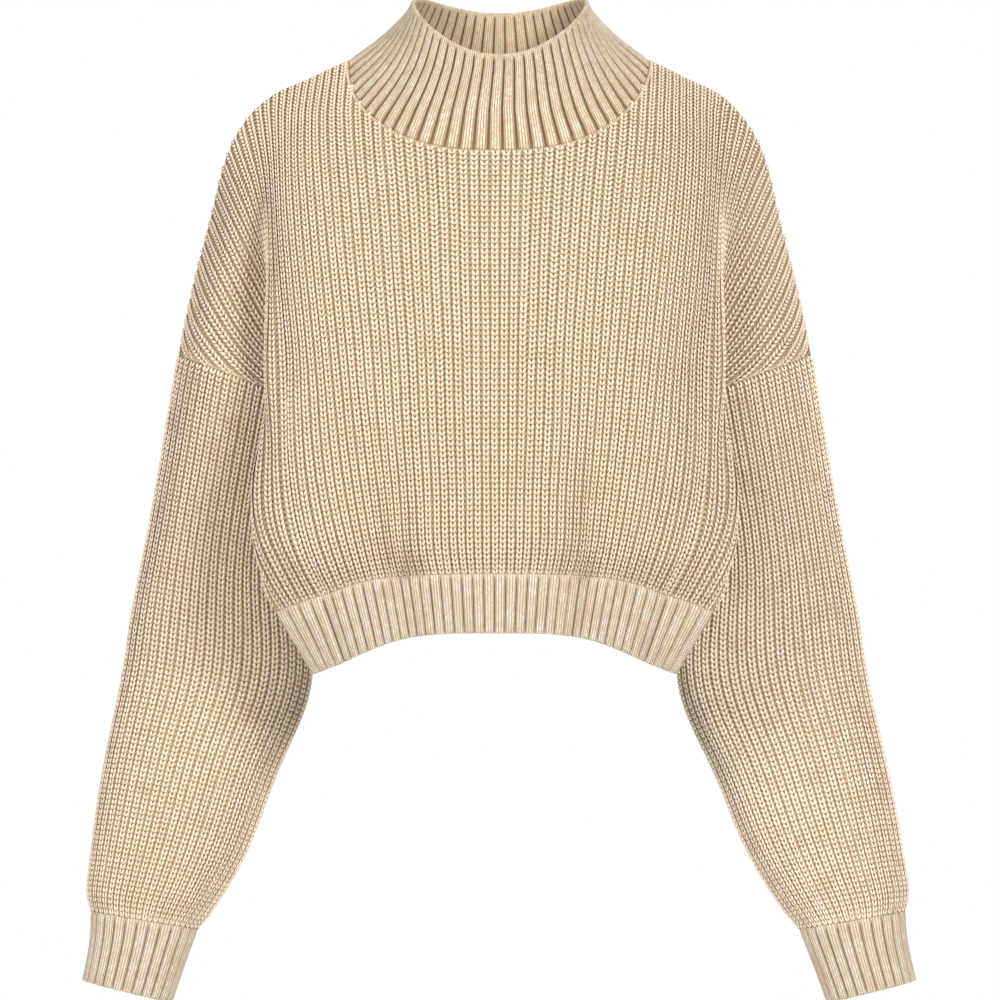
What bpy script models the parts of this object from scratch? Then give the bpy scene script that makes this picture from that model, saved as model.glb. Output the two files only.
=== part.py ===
"""Cropped knit sweater with a stand-up ribbed collar, dropped shoulders and balloon sleeves.

The garment hangs open and hollow, filled out as if it were worn. Metres, +Z up, front towards -Y,
the wearer's left towards +X. The origin is on the centre line, level with the shoulder points of
the collar seam, where the wearer's shoulders carry the weight. The tables are in millimetres.
"""

import math
from collections import namedtuple

import bpy
import bmesh
import numpy as np

MM = 0.001

# ---- cloth
KNIT_WALL = 3.0 * MM          # main knit, groove to plain inside
BAND_WALL = 2.6 * MM          # finer rib of collar, hem and cuffs
KNIT_RELIEF = 1.4 * MM        # how far a main rib stands out of its groove
BAND_RELIEF = 0.9 * MM
SEAM_GAP = 0.35 * MM          # between two pieces that meet at a seam

# ---- rib counts
EDGE_RISES = (0.0, 0.42, 1.0)  # hem, underarm and shoulder, as places along a rib
EDGE_RIBS = (31.0, 36.0, 44.5)  # ribs from a panel's centre line to its side at those places
LAST_FREE_RIB = 43.25         # ribs beyond this one run into the armhole
SLEEVE_RIBS = 48
COLLAR_RIBS = 56
HEM_RIBS = 42                 # across one half of the hem band, side seam to side seam
CUFF_RIBS = 24
UNDERARM_RISE = EDGE_RISES[1]
NECK_HALF_RIBS = 14.5         # the neck takes the ribs nearer the centre than this
NECK_SQUARENESS = 2.5         # 2 makes the neck edge round, more makes it squarer
FRONT_NECK_DROP = 0.218
BACK_NECK_DROP = 0.085

# ---- panel form: where the ribs pass at each height. The stations are ribs up to the brow, and
# from there on even shares of the ribs that are left to the side
STATION_RIBS = (0, 12, 21, 25, 29, 34, 39, 44)
SHARED_RIBS = 25.0
Course = namedtuple("Course", "rise centre chest lobe brow fold tuck flank seam")

FRONT_COURSES = (
    Course(0.000, (0, -86, -362), (62, -83, -363.5), (104, -71, -370.5), (123, -60, -377.5),
           (131, -56, -380), (140, -50, -383), (149, -42, -386.5), (157, -32, -390)),
    Course(0.045, (0, -93, -346), (66, -91, -347), (111, -82, -351), (134, -71, -356),
           (143, -65, -358), (154, -56, -361), (163, -44, -366), (165, -29, -372)),
    Course(0.120, (0, -97, -318), (69, -95, -318), (119, -85, -322), (144, -72, -326),
           (156, -64, -329), (169, -50, -333), (171, -31, -337), (154, -12, -338)),
    Course(0.270, (0, -100, -262), (74, -97, -262), (127, -86, -265), (150, -73, -268),
           (161, -63, -271), (168, -43, -277), (141, -15, -283), (124, 12, -285)),
    Course(0.420, (0, -102, -203), (78, -98, -203), (131, -84, -206), (151, -70, -210),
           (164, -56, -218), (147, -41, -244), (118.5, -17, -257), (121.5, 26, -245)),
    Course(0.545, (0, -99, -154), (82, -94, -154), (136, -79, -157), (154, -66, -161),
           (163, -52, -169), (153, -37, -190), (136, -31, -222), (133, -13, -240.5)),
    Course(0.680, (0, -88, -101), (86, -81, -103), (141, -66, -107), (157, -55, -113),
           (163, -42, -126), (163, -29, -156), (167, -30, -194), (166, -35, -228)),
    Course(0.820, (0, -62, -45), (91, -53, -48), (144, -38, -58), (160, -33, -70),
           (171, -30, -91), (182, -27, -128), (194, -27, -170), (204, -25, -214)),
    Course(1.000, (0, 12, 14), (93.5, 12, 11.5), (143, 12, -8.9), (165.5, 12, -21),
           (188.6, 12, -50), (203.5, 13, -100), (216, 16, -150), (227.5, 26, -205)),
)

BACK_COURSES = (
    Course(0.000, (0, 70, -362), (73, 61, -364.5), (117, 27, -376), (134, 5, -383),
           (139, -3, -384.5), (145, -12, -386.5), (151, -22, -388.5), (157, -32, -390)),
    Course(0.045, (0, 77, -346), (72, 70, -348), (117, 40, -356), (133, 20, -361),
           (139, 10, -364), (147, -3, -366), (156, -15, -369), (165, -29, -372)),
    Course(0.120, (0, 83, -318), (75, 79, -318), (117, 56, -324), (124, 40, -328),
           (128, 28, -331), (134, 14, -333), (143, 1, -336), (154, -12, -338)),
    Course(0.270, (0, 87, -262), (78, 84, -262), (121, 66, -267), (122, 52, -271),
           (119, 40, -275), (117, 31, -279), (119, 22, -282), (124, 12, -285)),
    Course(0.420, (0, 92, -203), (80, 90, -203), (134, 79, -207), (138, 75, -215),
           (128, 68, -227), (117, 56, -240), (113, 42, -249), (121.5, 26, -245)),
    Course(0.545, (0, 95, -154), (83, 93, -154), (138, 86, -158), (151, 77, -165),
           (151, 63, -175), (138, 56, -198), (126, 57, -226), (133, 65, -240.5)),
    Course(0.680, (0, 90, -101), (86, 87, -103), (141, 77, -107), (157, 69, -113),
           (163, 61, -126), (160, 57, -157), (158, 64, -198), (166, 87, -228)),
    Course(0.820, (0, 66, -45), (91, 63, -48), (144, 55, -58), (160, 50, -70),
           (172, 50, -90), (183, 54, -127), (194, 64, -170), (204, 77, -214)),
    Course(1.000, (0, 12, 14), (93.5, 12, 11.5), (143, 12, -8.9), (165.5, 12, -21),
           (188.6, 12, -50), (203.5, 13, -100), (216, 16, -150), (227.5, 26, -205)),
)

# the lower edge of the hem band, at the same stations
FRONT_HEM_EDGE = Course(-0.12, (0, -82, -403.6), (56, -79, -406), (92, -68, -417), (107, -57, -424),
                        (112.5, -52, -426.5), (119, -45, -429), (125, -38, -431.5), (130.5, -31, -433.5))
BACK_HEM_EDGE = Course(-0.12, (0, 66, -401), (64, 58, -407), (103, 27, -421), (116, 5, -428),
                       (120, -3, -429.5), (124, -12, -431), (127.5, -21, -432.5), (130.5, -31, -433.5))
HEM_TROUGH_SHARE = 0.8        # how much of a trough's depth is left at the hem's lower edge

# ---- soft upright troughs in the panels: rib, half-width in ribs, deepest rise, reach up, depth
Trough = namedtuple("Trough", "rib spread lowest reach depth")
FRONT_TROUGHS = (
    Trough(-12.5, 2.7, 0.07, 0.17, 12.0),
    Trough(12.0, 2.7, 0.07, 0.18, 13.0),
)
BACK_TROUGHS = (
    Trough(-14.0, 3.2, 0.10, 0.16, 8.0),
    Trough(1.5, 3.0, 0.08, 0.13, 6.0),
    Trough(15.5, 3.2, 0.08, 0.18, 9.0),
)

# ---- sleeve sections from armhole to cuff: centre, half-width, half-depth, lean in degrees
Section = namedtuple("Section", "run x y z half_width half_depth lean")
SLEEVE_SECTIONS = (
    Section(0.00, 174.5, 26, -225, 56.65, 62.0, 20.67),
    Section(0.10, 182.0, 34, -265, 55.3, 55.0, 12.0),
    Section(0.21, 190.0, 43, -310, 55.0, 48.0, 8.0),
    Section(0.33, 196.5, 52, -360, 58.0, 42.0, 8.0),
    Section(0.45, 198.2, 58, -410, 65.9, 38.5, 9.0),
    Section(0.53, 201.7, 60, -440, 66.8, 37.0, 10.5),
    Section(0.66, 217.4, 54, -490, 61.2, 36.0, 13.0),
    Section(0.81, 235.3, 40, -550, 55.0, 34.0, 15.0),
    Section(0.91, 248.2, 28, -588, 47.2, 31.5, 13.0),
    Section(0.96, 253.0, 22, -602, 43.2, 29.0, 11.0),
    Section(1.00, 255.2, 19, -612, 38.4, 26.2, 9.5),
)
CUFF_SECTIONS = (
    Section(0.00, 255.2, 19, -612, 38.4, 26.2, 9.5),
    Section(0.35, 258.6, 16, -628, 35.4, 24.7, 11.5),
    Section(1.00, 267.9, 10, -662.5, 32.4, 22.8, 14.0),
)

# ---- collar: rim ellipse and how far the sides bow in on the way up
RIM_CENTRE = (0.0, -7.0, 24.5)
RIM_HALF_WIDTH = 62.5
RIM_HALF_DEPTH = 56.0
RIM_SIDE_LIFT = 23.0          # the sides of the rim stand above the line from front to back
RIM_BACK_LIFT = 16.5          # the back of the rim stands this much above its centre
COLLAR_BOW = 34.0

# ---- the whole garment drifts a little sideways on its way down
SWAY_HEIGHTS = (-660, -588, -526, -470, -430, -250, -130, -30, 0, 50)
SWAY_SHIFTS = (1.0, -0.2, -1.4, -2.4, -2.4, -2.3, -2.3, -1.7, 0.6, 1.5)

# ---- mesh density
PANEL_SHARES = (0.0, 0.04, 0.12, 0.25, 0.40, 0.56, 0.72, 0.87, 1.0)
NECK_CORNER_RIBS = (13.75, 14.25, 14.4)
SPARSE_RIBS = (2, 1, 2, 0.5, 1)  # step of the plain inside's columns from each of these ribs on
SPARSE_FROM = (0, 7, 18, 24, 38)
SLEEVE_RUNS = (0.0, 0.05, 0.20, 0.38, 0.56, 0.77, 0.95, 1.0)
CUFF_RUNS = (0.0, 0.12, 0.55, 1.0)
HEM_SHARES = (0.0, 0.12, 1.0)
COLLAR_SHARES = (0.0, 0.1, 0.5, 1.0)
COARSE = 4                    # columns of a ribbed outside for each column of the plain inside
HEM_COARSE = 2
NECK_SAMPLES = 6              # samples of the neck seam for each column of the collar
PROBE = 0.02                  # step for measuring a surface's direction

COLOURS = {
    "main_knit": (0.66, 0.53, 0.38),
    "rib_band": (0.68, 0.55, 0.40),
}


# ------------------------------------------------------------------ curves and directions

def natural_spline(knots, values, places):
    """Smooth curve through a row of points, one per knot, read at the given places."""
    knots = np.asarray(knots, float)
    values = np.asarray(values, float)
    places = np.atleast_1d(np.asarray(places, float))
    steps = np.diff(knots)
    slopes = np.diff(values, axis=0) / steps[:, None]
    matrix = np.eye(len(knots))
    right = np.zeros_like(values)
    for i in range(1, len(knots) - 1):
        matrix[i, i - 1:i + 2] = steps[i - 1], 2 * (steps[i - 1] + steps[i]), steps[i]
        right[i] = 6 * (slopes[i] - slopes[i - 1])
    bend = np.linalg.solve(matrix, right)
    index = np.clip(np.searchsorted(knots, places) - 1, 0, len(steps) - 1)
    step = steps[index][:, None]
    after = (places - knots[index])[:, None]
    before = step - after
    start, end = values[index], values[index + 1]
    start_bend, end_bend = bend[index], bend[index + 1]
    return (
        (start_bend * before ** 3 + end_bend * after ** 3) / (6 * step)
        + (start / step - start_bend * step / 6) * before
        + (end / step - end_bend * step / 6) * after
    )


def unit(vectors):
    """Vectors brought to length one."""
    vectors = np.asarray(vectors, float)
    return vectors / np.linalg.norm(vectors, axis=-1, keepdims=True)


def smooth_step(value):
    """0 below 0, 1 above 1, with a soft start and end."""
    value = np.clip(value, 0.0, 1.0)
    return value * value * (3 - 2 * value)


def dot(first, second):
    """Scalar product along the last axis, which is kept."""
    return np.sum(first * second, axis=-1, keepdims=True)


# ------------------------------------------------------------------ the form of each piece

def edge_rib(rise):
    """Rib number of a panel's side at a height: the panel widens upwards."""
    return np.interp(rise, EDGE_RISES, EDGE_RIBS)


def bottom_rise(rib):
    """Where a rib begins: at the hem, or higher up at the side seam or the armhole."""
    return np.interp(np.minimum(np.abs(rib), LAST_FREE_RIB), EDGE_RIBS, EDGE_RISES)


class Tube:
    """Sleeve or cuff: leaning elliptical sections along a bent axis."""

    def __init__(self, sections, side):
        self.sections = sections
        self.side = side

    def points(self, turns, runs):
        """Grid of points; a turn starts at the underarm side and passes the front first."""
        runs = np.atleast_1d(np.asarray(runs, float))
        turns = np.asarray(turns, float)
        table = natural_spline([s.run for s in self.sections], [s[1:] for s in self.sections], runs)
        x, y, z, half_width, half_depth, lean = (column[:, None] for column in table.T)
        lean = np.radians(lean)
        across = -np.cos(turns)[None, :]
        along = -np.sin(turns)[None, :]
        grid = np.stack([
            self.side * (x + half_width * across * np.cos(lean)),
            y + half_depth * along,
            z + half_width * across * np.sin(lean),
        ], axis=-1)
        return MM * grid

    def plane(self, section):
        """Direction square to a section, back towards the armhole."""
        lean = math.radians(section.lean)
        return np.array([-self.side * math.sin(lean), 0.0, math.cos(lean)])

    def normals(self, turns, runs):
        """Directions out of the tube, kept in the plane of the section at both ends."""
        turns = np.asarray(turns, float)
        runs = np.atleast_1d(np.asarray(runs, float))
        low, high = np.maximum(runs - PROBE, 0), np.minimum(runs + PROBE, 1)
        down = self.points(turns, high) - self.points(turns, low)
        around = self.points(turns + PROBE, runs) - self.points(turns - PROBE, runs)
        normals = unit(np.cross(down, around) * self.side)
        for row, section in ((0, self.sections[0]), (-1, self.sections[-1])):
            plane = self.plane(section)
            normals[row] = unit(normals[row] - plane * dot(normals[row], plane))
        return normals

    def even_turns(self, count, run):
        """Turns that divide one section into steps of equal length."""
        fine = np.linspace(0, 2 * math.pi, 721)
        ring = self.points(fine, [run])[0]
        lengths = np.concatenate([[0], np.cumsum(np.linalg.norm(np.diff(ring, axis=0), axis=1))])
        return np.interp(np.arange(count) / count * lengths[-1], lengths, fine)


class Panel:
    """Front or back. A point on it is named by its rib, counted from the centre, and its rise."""

    def __init__(self, facing, courses, troughs, neck_drop, hem_edge):
        self.facing = facing
        self.troughs = troughs
        self.neck_drop = neck_drop
        self.rises = [course.rise for course in courses]
        self.grid = np.array([self.mirrored(course) for course in courses], float)
        self.hem_row = self.mirrored(hem_edge)
        self.stations = [-rib for rib in STATION_RIBS[:0:-1]] + list(STATION_RIBS)

    @staticmethod
    def mirrored(course):
        """A course from the wearer's right side seam to the left one."""
        half = [np.array(point, float) for point in course[1:]]
        other = [point * (-1, 1, 1) for point in half[:0:-1]]
        return np.array(other + half)

    def trough_depth(self, rib, rise):
        """How far the troughs press the cloth in towards the middle of the garment."""
        depth = 0.0
        for trough in self.troughs:
            across = np.exp(-((rib - trough.rib) / trough.spread) ** 2)
            up = np.exp(-(np.maximum(rise - trough.lowest, 0) / trough.reach) ** 2)
            depth = depth + trough.depth * MM * across * up
        return depth

    def edge(self, rise):
        """The panel's left side: up the side seam, then round its half of the armhole."""
        lower = [row for row, at in enumerate(self.rises) if at <= UNDERARM_RISE]
        knots = [self.rises[row] for row in lower]
        seam = MM * natural_spline(knots, self.grid[lower, -1], np.minimum(rise, UNDERARM_RISE))
        turns = -self.facing * math.pi * (rise - UNDERARM_RISE) / (1 - UNDERARM_RISE)
        armhole = Tube(SLEEVE_SECTIONS, 1).points(turns, [0.0])[0]
        return np.where(rise[:, None] > UNDERARM_RISE, armhole, seam)

    def stations_at(self, rib, rise):
        """Station of a rib, which is the rib itself nearer the centre."""
        size = np.minimum(np.abs(rib), edge_rib(rise))
        share = (STATION_RIBS[-1] - SHARED_RIBS) / (edge_rib(rise) - SHARED_RIBS)
        beyond = np.maximum(size - SHARED_RIBS, 0) * share
        return np.sign(rib) * (np.minimum(size, SHARED_RIBS) + beyond)

    def points(self, rib, rise):
        """Points of the panel's groove surface, for arrays of ribs and rises."""
        rib, rise = np.broadcast_arrays(np.asarray(rib, float), np.asarray(rise, float))
        shape = rib.shape
        rib, rise = rib.ravel(), rise.ravel()
        station = self.stations_at(rib, rise)
        across = natural_spline(self.stations, np.eye(len(self.stations)), station)
        up = natural_spline(self.rises, np.eye(len(self.rises)), rise)
        points = MM * np.einsum("mr,mc,rcx->mx", up, across, self.grid)
        points[:, 1] -= self.facing * self.trough_depth(rib, rise)
        free = MM * natural_spline(self.rises, self.grid[:, -1], rise)
        first = STATION_RIBS[-3]
        pull = smooth_step((np.abs(station) - first) / (STATION_RIBS[-1] - first))[:, None]
        mirror = np.stack([np.sign(rib), np.ones_like(rib), np.ones_like(rib)], axis=-1)
        points += pull * (self.edge(rise) - free) * mirror
        return points.reshape(*shape, 3)

    def normals(self, rib, rise):
        """Directions out of the cloth at the same places."""
        limit = edge_rib(rise)
        rib = np.clip(rib, -limit, limit)
        left, right = np.maximum(rib - 0.5, -limit), np.minimum(rib + 0.5, limit)
        across = self.points(right, rise) - self.points(left, rise)
        low, high = np.maximum(rise - PROBE, 0), np.minimum(rise + PROBE, 1)
        up = self.points(rib, high) - self.points(rib, low)
        return unit(np.cross(across, up) * -self.facing)

    def top_rise(self, rib):
        """Where a rib ends: at the shoulder seam, or lower down at the neck."""
        inside = np.maximum(0.0, 1 - np.abs(np.asarray(rib, float) / NECK_HALF_RIBS) ** NECK_SQUARENESS)
        return 1 - self.neck_drop * np.sqrt(inside)

    def rises_at(self, rib, share):
        """Rises at shares of a rib's own length; the neck draws only the upper ones down."""
        bottom = bottom_rise(rib)
        return bottom + (1 - bottom) * share - (1 - self.top_rise(rib)) * smooth_step(share) ** 2

    def hem_points(self, ribs):
        """Grid of points of the hem band under this panel, its seam first."""
        top = self.points(ribs, 0.0)
        bottom = MM * natural_spline(self.stations, self.hem_row, self.stations_at(ribs, 0.0))
        bottom[:, 1] -= self.facing * self.trough_depth(ribs, 0.0) * HEM_TROUGH_SHARE
        share = np.array(HEM_SHARES)[:, None, None]
        return top[None] * (1 - share) + bottom[None] * share


class Neck:
    """The seam between the panels and the collar, from the front centre to the left."""

    def __init__(self, front, back, count):
        angles = np.linspace(0, math.pi / 2, 91)
        ribs = NECK_HALF_RIBS * np.sin(angles)
        front_half = front.points(ribs, front.top_rise(ribs))
        back_half = back.points(ribs, back.top_rise(ribs))[::-1][1:]
        half = np.concatenate([front_half, back_half])
        ribs = np.concatenate([ribs, ribs[::-1][1:]])
        in_front = np.concatenate([np.ones(len(angles)), np.zeros(len(angles) - 1)])
        whole = np.concatenate([half, half[::-1][1:] * (-1, 1, 1)])
        ribs = np.concatenate([ribs, -ribs[::-1][1:]])
        in_front = np.concatenate([in_front, in_front[::-1][1:]])
        lengths = np.concatenate([[0], np.cumsum(np.linalg.norm(np.diff(whole, axis=0), axis=1))])
        wanted = np.arange(count) / count * lengths[-1]
        self.points = np.stack([np.interp(wanted, lengths, whole[:, k]) for k in range(3)], axis=-1)
        at = np.interp(wanted, lengths, ribs)
        is_front = np.interp(wanted, lengths, in_front)[:, None] > 0.5
        lying = np.where(is_front, front.normals(at, front.top_rise(at)),
                         back.normals(at, back.top_rise(at)))
        along = np.roll(self.points, -1, axis=0) - np.roll(self.points, 1, axis=0)
        collar = collar_points(self.points, (0.0, 0.1))
        standing = unit(np.cross(along, collar[1] - collar[0]))
        self.normals = unit(lying + standing)

    def normals_near(self, points):
        """Shared directions at the seam's samples nearest to some points."""
        apart = np.linalg.norm(points[:, None] - self.points[None], axis=-1)
        return self.normals[np.argmin(apart, axis=1)]


def rim_point(turn):
    """Point on the collar's rim; turn is 0 at the front centre and grows to the left."""
    back = -np.cos(turn)
    side = np.sin(turn)
    return MM * np.stack([
        RIM_CENTRE[0] + RIM_HALF_WIDTH * side,
        RIM_CENTRE[1] + RIM_HALF_DEPTH * back,
        RIM_CENTRE[2] + RIM_BACK_LIFT * back + RIM_SIDE_LIFT * side * side,
    ], axis=-1)


def collar_points(base, shares):
    """Collar rows from the neck seam to the rim, bowed in at the sides."""
    count = len(base)
    rim = rim_point(2 * math.pi * np.arange(count) / count)
    side = np.abs(rim[:, 0]) / (RIM_HALF_WIDTH * MM)
    rows = []
    for share in shares:
        row = base + (rim - base) * share
        bow = 0.7 * COLLAR_BOW * MM * share * (1 - share)
        row[:, 0] -= np.sign(rim[:, 0]) * bow * side ** 2
        rows.append(row)
    return np.array(rows)


# ------------------------------------------------------------------ walls

def rib_relief(ribs, height):
    """Relief that peaks on each whole rib and is nothing in the grooves between."""
    return height * (0.5 + 0.5 * np.cos(2 * math.pi * np.asarray(ribs, float)))


def drawn_back(grid, normals, rows, columns, inside):
    """Steps of half a seam's gap, in the cloth and square to a seam, towards the inside point."""
    line = grid[rows, columns]
    along = unit(np.gradient(line, axis=0))
    away = unit(np.cross(normals[rows, columns], along))
    return away * np.sign(dot(away, inside - line)) * SEAM_GAP / 2


def edge_fan(outer, inner, keep):
    """Faces between an edge row of the outside and the sparser row of the inside behind it."""
    faces = []
    for k in range(len(keep) - 1):
        middle = (keep[k] + keep[k + 1]) // 2
        for j in range(keep[k], keep[k + 1]):
            near = inner[k] if j < middle else inner[k + 1]
            faces.append((outer[j], outer[j + 1], near))
        faces.append((outer[middle], inner[k + 1], inner[k]))
    return faces


def wall_faces(outer, inner, keep, round_piece):
    """Faces of a closed wall from its grids of vertex numbers."""
    faces = []
    for grid in (outer, inner):
        for row in range(len(grid) - 1):
            for col in range(len(grid[row]) - 1):
                corner = grid[row][col], grid[row][col + 1], grid[row + 1][col + 1], grid[row + 1][col]
                faces.append(corner)
    faces += edge_fan(outer[0], inner[0], keep)
    faces += edge_fan(outer[-1], inner[-1], keep)
    if not round_piece:
        for end in (0, -1):
            for row in range(len(outer) - 1):
                side = outer[row][end], outer[row + 1][end], inner[row + 1][end], inner[row][end]
                faces.append(side)
    return faces


def number_grid(rows, columns, first, round_piece):
    """Vertex numbers of a grid; on a round piece the last column is the first one again."""
    grid = [[first + row * columns + col for col in range(columns)] for row in range(rows)]
    if round_piece:
        grid = [row + row[:1] for row in grid]
    return grid


def swayed(points):
    """Points with the garment's sideways drift."""
    moved = points.copy()
    moved[:, 0] += MM * np.interp(points[:, 2] / MM, SWAY_HEIGHTS, SWAY_SHIFTS)
    return moved


def make_wall(name, outer, inner, keep, round_piece, material, collection):
    """Build one piece of cloth as a closed mesh; keep lists the outer column behind each inner one."""
    rows, columns = outer.shape[:2]
    outer_ids = number_grid(rows, columns, 0, round_piece)
    inner_ids = number_grid(rows, inner.shape[1], rows * columns, round_piece)
    vertices = swayed(np.concatenate([outer.reshape(-1, 3), inner.reshape(-1, 3)]))
    mesh = bpy.data.meshes.new(name)
    mesh.from_pydata(vertices.tolist(), [], wall_faces(outer_ids, inner_ids, keep, round_piece))
    shape = bmesh.new()
    shape.from_mesh(mesh)
    bmesh.ops.triangulate(shape, faces=shape.faces[:])
    bmesh.ops.recalc_face_normals(shape, faces=shape.faces[:])
    shape.to_mesh(mesh)
    shape.free()
    mesh.shade_smooth()
    piece = bpy.data.objects.new(name, mesh)
    piece.data.materials.append(material)
    collection.objects.link(piece)
    return piece


def round_wall(name, points, normals, wall, relief, material, collection):
    """A ribbed tube with a plain inside; relief is a height for each point."""
    outer = points + normals * relief[..., None]
    inner = points - normals * wall
    keep = list(range(0, points.shape[1] + 1, COARSE))
    return make_wall(name, outer, inner[:, ::COARSE], keep, True, material, collection)


# ------------------------------------------------------------------ pieces

def panel_ribs():
    """Columns of a panel: a peak and a groove for each rib, and more at the neck's corners."""
    last = math.floor(LAST_FREE_RIB)
    ribs = set(np.arange(-last, last + 0.25, 0.5).tolist())
    for rib in NECK_CORNER_RIBS + (EDGE_RIBS[-1],):
        ribs.update((rib, -rib))
    return np.array(sorted(ribs))


def is_inner_column(rib):
    """Whether the plain inside of a panel has a column behind this rib."""
    if rib == EDGE_RIBS[-1]:
        return True
    step = [step for step, first in zip(SPARSE_RIBS, SPARSE_FROM) if rib >= first][-1]
    return rib % step == 0


def seam_normals(panel, other, neck, ribs, rises):
    """A panel's directions, made one with its neighbour's along every seam."""
    normals = panel.normals(ribs, rises)
    both = unit(normals + other.normals(ribs, rises))
    sizes = np.abs(ribs[0])
    shoulder = sizes >= NECK_HALF_RIBS
    side = (sizes >= EDGE_RIBS[0]) & (sizes <= EDGE_RIBS[1])
    normals[-1, shoulder] = both[-1, shoulder]
    normals[0, side] = both[0, side]
    at_neck = np.flatnonzero(sizes <= NECK_HALF_RIBS)
    normals[-1, at_neck] = neck.normals_near(panel.points(ribs[-1, at_neck], rises[-1, at_neck]))
    for sign in (-1, 1):
        plane = Tube(SLEEVE_SECTIONS, sign).plane(SLEEVE_SECTIONS[0])
        centre = MM * np.array(SLEEVE_SECTIONS[0][1:4]) * (sign, 1, 1)
        height = dot(panel.points(ribs, rises) - centre, plane)[..., 0]
        low = (ribs * sign >= EDGE_RIBS[1]) & (height < 2 * KNIT_WALL)
        edge = normals[low]
        normals[low] = unit(edge - plane * np.maximum(dot(edge, plane), 0))
    return normals


def armhole_edges(ribs, row_count):
    """Grid places of both armholes: along the bottom row, then up the outermost column."""
    edges = []
    for sign, last in ((-1, 0), (1, len(ribs) - 1)):
        columns = np.flatnonzero(ribs * sign >= EDGE_RIBS[1])
        rows = np.concatenate([np.zeros(len(columns), int), np.arange(1, row_count)])
        columns = np.concatenate([columns, np.full(row_count - 1, last)])
        edges.append((sign, rows, columns))
    return edges


def panel_points(panel, normals, ribs, rises):
    """A panel's grid with every seam edge drawn back by half the gap."""
    points = panel.points(ribs, rises)
    moved = points.copy()
    row = ribs[0]
    seams = (
        (0, 1, np.abs(row) <= EDGE_RIBS[0]),
        (0, 1, (row >= EDGE_RIBS[0]) & (row <= EDGE_RIBS[1])),
        (0, 1, (row <= -EDGE_RIBS[0]) & (row >= -EDGE_RIBS[1])),
        (-1, -2, np.abs(row) <= NECK_HALF_RIBS),
        (-1, -2, row >= NECK_HALF_RIBS),
        (-1, -2, row <= -NECK_HALF_RIBS),
    )
    for edge, next_row, chosen in seams:
        columns = np.flatnonzero(chosen)
        moved[edge, columns] += drawn_back(points, normals, edge, columns, points[next_row, columns])
    for sign, rows, columns in armhole_edges(row, len(ribs)):
        plane = Tube(SLEEVE_SECTIONS, sign).plane(SLEEVE_SECTIONS[0])
        moved[rows, columns] += plane * SEAM_GAP / 2
    return moved


def make_panel(name, panel, other, neck, material, collection):
    """Front or back panel with its neck and armholes open."""
    row = panel_ribs()
    share = np.array(PANEL_SHARES)[:, None]
    rises = panel.rises_at(row[None], share)
    ribs = np.broadcast_to(row, rises.shape)
    normals = seam_normals(panel, other, neck, ribs, rises)
    points = panel_points(panel, normals, ribs, rises)
    relief = np.broadcast_to(rib_relief(row, KNIT_RELIEF), rises.shape).copy()
    relief[[0, -1]] = 0.0
    relief[:, [0, -1]] = 0.0
    outer = points + normals * relief[..., None]
    inner = points - normals * KNIT_WALL
    keep = [k for k, rib in enumerate(row) if is_inner_column(abs(rib))]
    return make_wall(name, outer, inner[:, keep], keep, False, material, collection)


def hem_normals(panel, points, ribs):
    """Directions out of the hem band; its seam row takes those of the panel above."""
    across = np.gradient(points, axis=1)
    down = np.gradient(points, axis=0)
    normals = unit(np.cross(down, across) * -panel.facing)
    normals[0] = panel.normals(ribs, np.zeros_like(ribs))
    return normals


def make_hem(name, panel, other, material, collection):
    """Half of the hem band, under one panel."""
    count = 2 * HEM_RIBS
    ribs = np.linspace(-EDGE_RIBS[0], EDGE_RIBS[0], count + 1)
    points = panel.hem_points(ribs)
    normals = hem_normals(panel, points, ribs)
    facing = hem_normals(other, other.hem_points(ribs), ribs)
    ends = [0, -1]
    normals[:, ends] = unit(normals[:, ends] + facing[:, ends])
    moved = points.copy()
    columns = np.arange(count + 1)
    moved[0] += drawn_back(points, normals, 0, columns, points[1])
    rows = np.arange(len(points))
    for end, neighbour in ((0, 1), (-1, -2)):
        moved[:, end] += drawn_back(points, normals, rows, end, points[:, neighbour])
    relief = np.tile(rib_relief(columns / 2 + 0.5, BAND_RELIEF), (len(points), 1))
    relief[0] = 0.0
    outer = moved + normals * relief[..., None]
    inner = moved - normals * BAND_WALL
    keep = list(range(0, count + 1, HEM_COARSE))
    return make_wall(name, outer, inner[:, keep], keep, False, material, collection)


def make_tube(name, sections, side, ribs, runs, wall, height, material, collection):
    """Sleeve or cuff, ribbed along its length, drawn back from the seams at its ends."""
    tube = Tube(sections, side)
    turns = tube.even_turns(2 * ribs, 0.5)
    points = tube.points(turns, runs)
    normals = tube.normals(turns, runs)
    relief = np.tile(rib_relief(np.arange(2 * ribs) / 2, height), (len(runs), 1))
    points[0] -= tube.plane(sections[0]) * SEAM_GAP / 2
    relief[0] = 0.0
    if sections is SLEEVE_SECTIONS:
        points[-1] += tube.plane(sections[-1]) * SEAM_GAP / 2
        relief[-1] = 0.0
        relief[1] *= 0.5
    return round_wall(name, points, normals, wall, relief, material, collection)


def make_collar(neck, material, collection):
    """Stand-up collar from the neck seam to its rim."""
    points = collar_points(neck.points[::NECK_SAMPLES], COLLAR_SHARES)
    across = np.roll(points, -1, axis=1) - np.roll(points, 1, axis=1)
    normals = unit(np.cross(across, np.gradient(points, axis=0)))
    normals[0] = neck.normals[::NECK_SAMPLES]
    columns = np.arange(points.shape[1])
    points[0] += drawn_back(points, normals, 0, columns, points[1])
    relief = np.tile(rib_relief(columns / 2, BAND_RELIEF), (len(points), 1))
    relief[0] = 0.0
    return round_wall("collar", points, normals, BAND_WALL, relief, material, collection)


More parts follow.
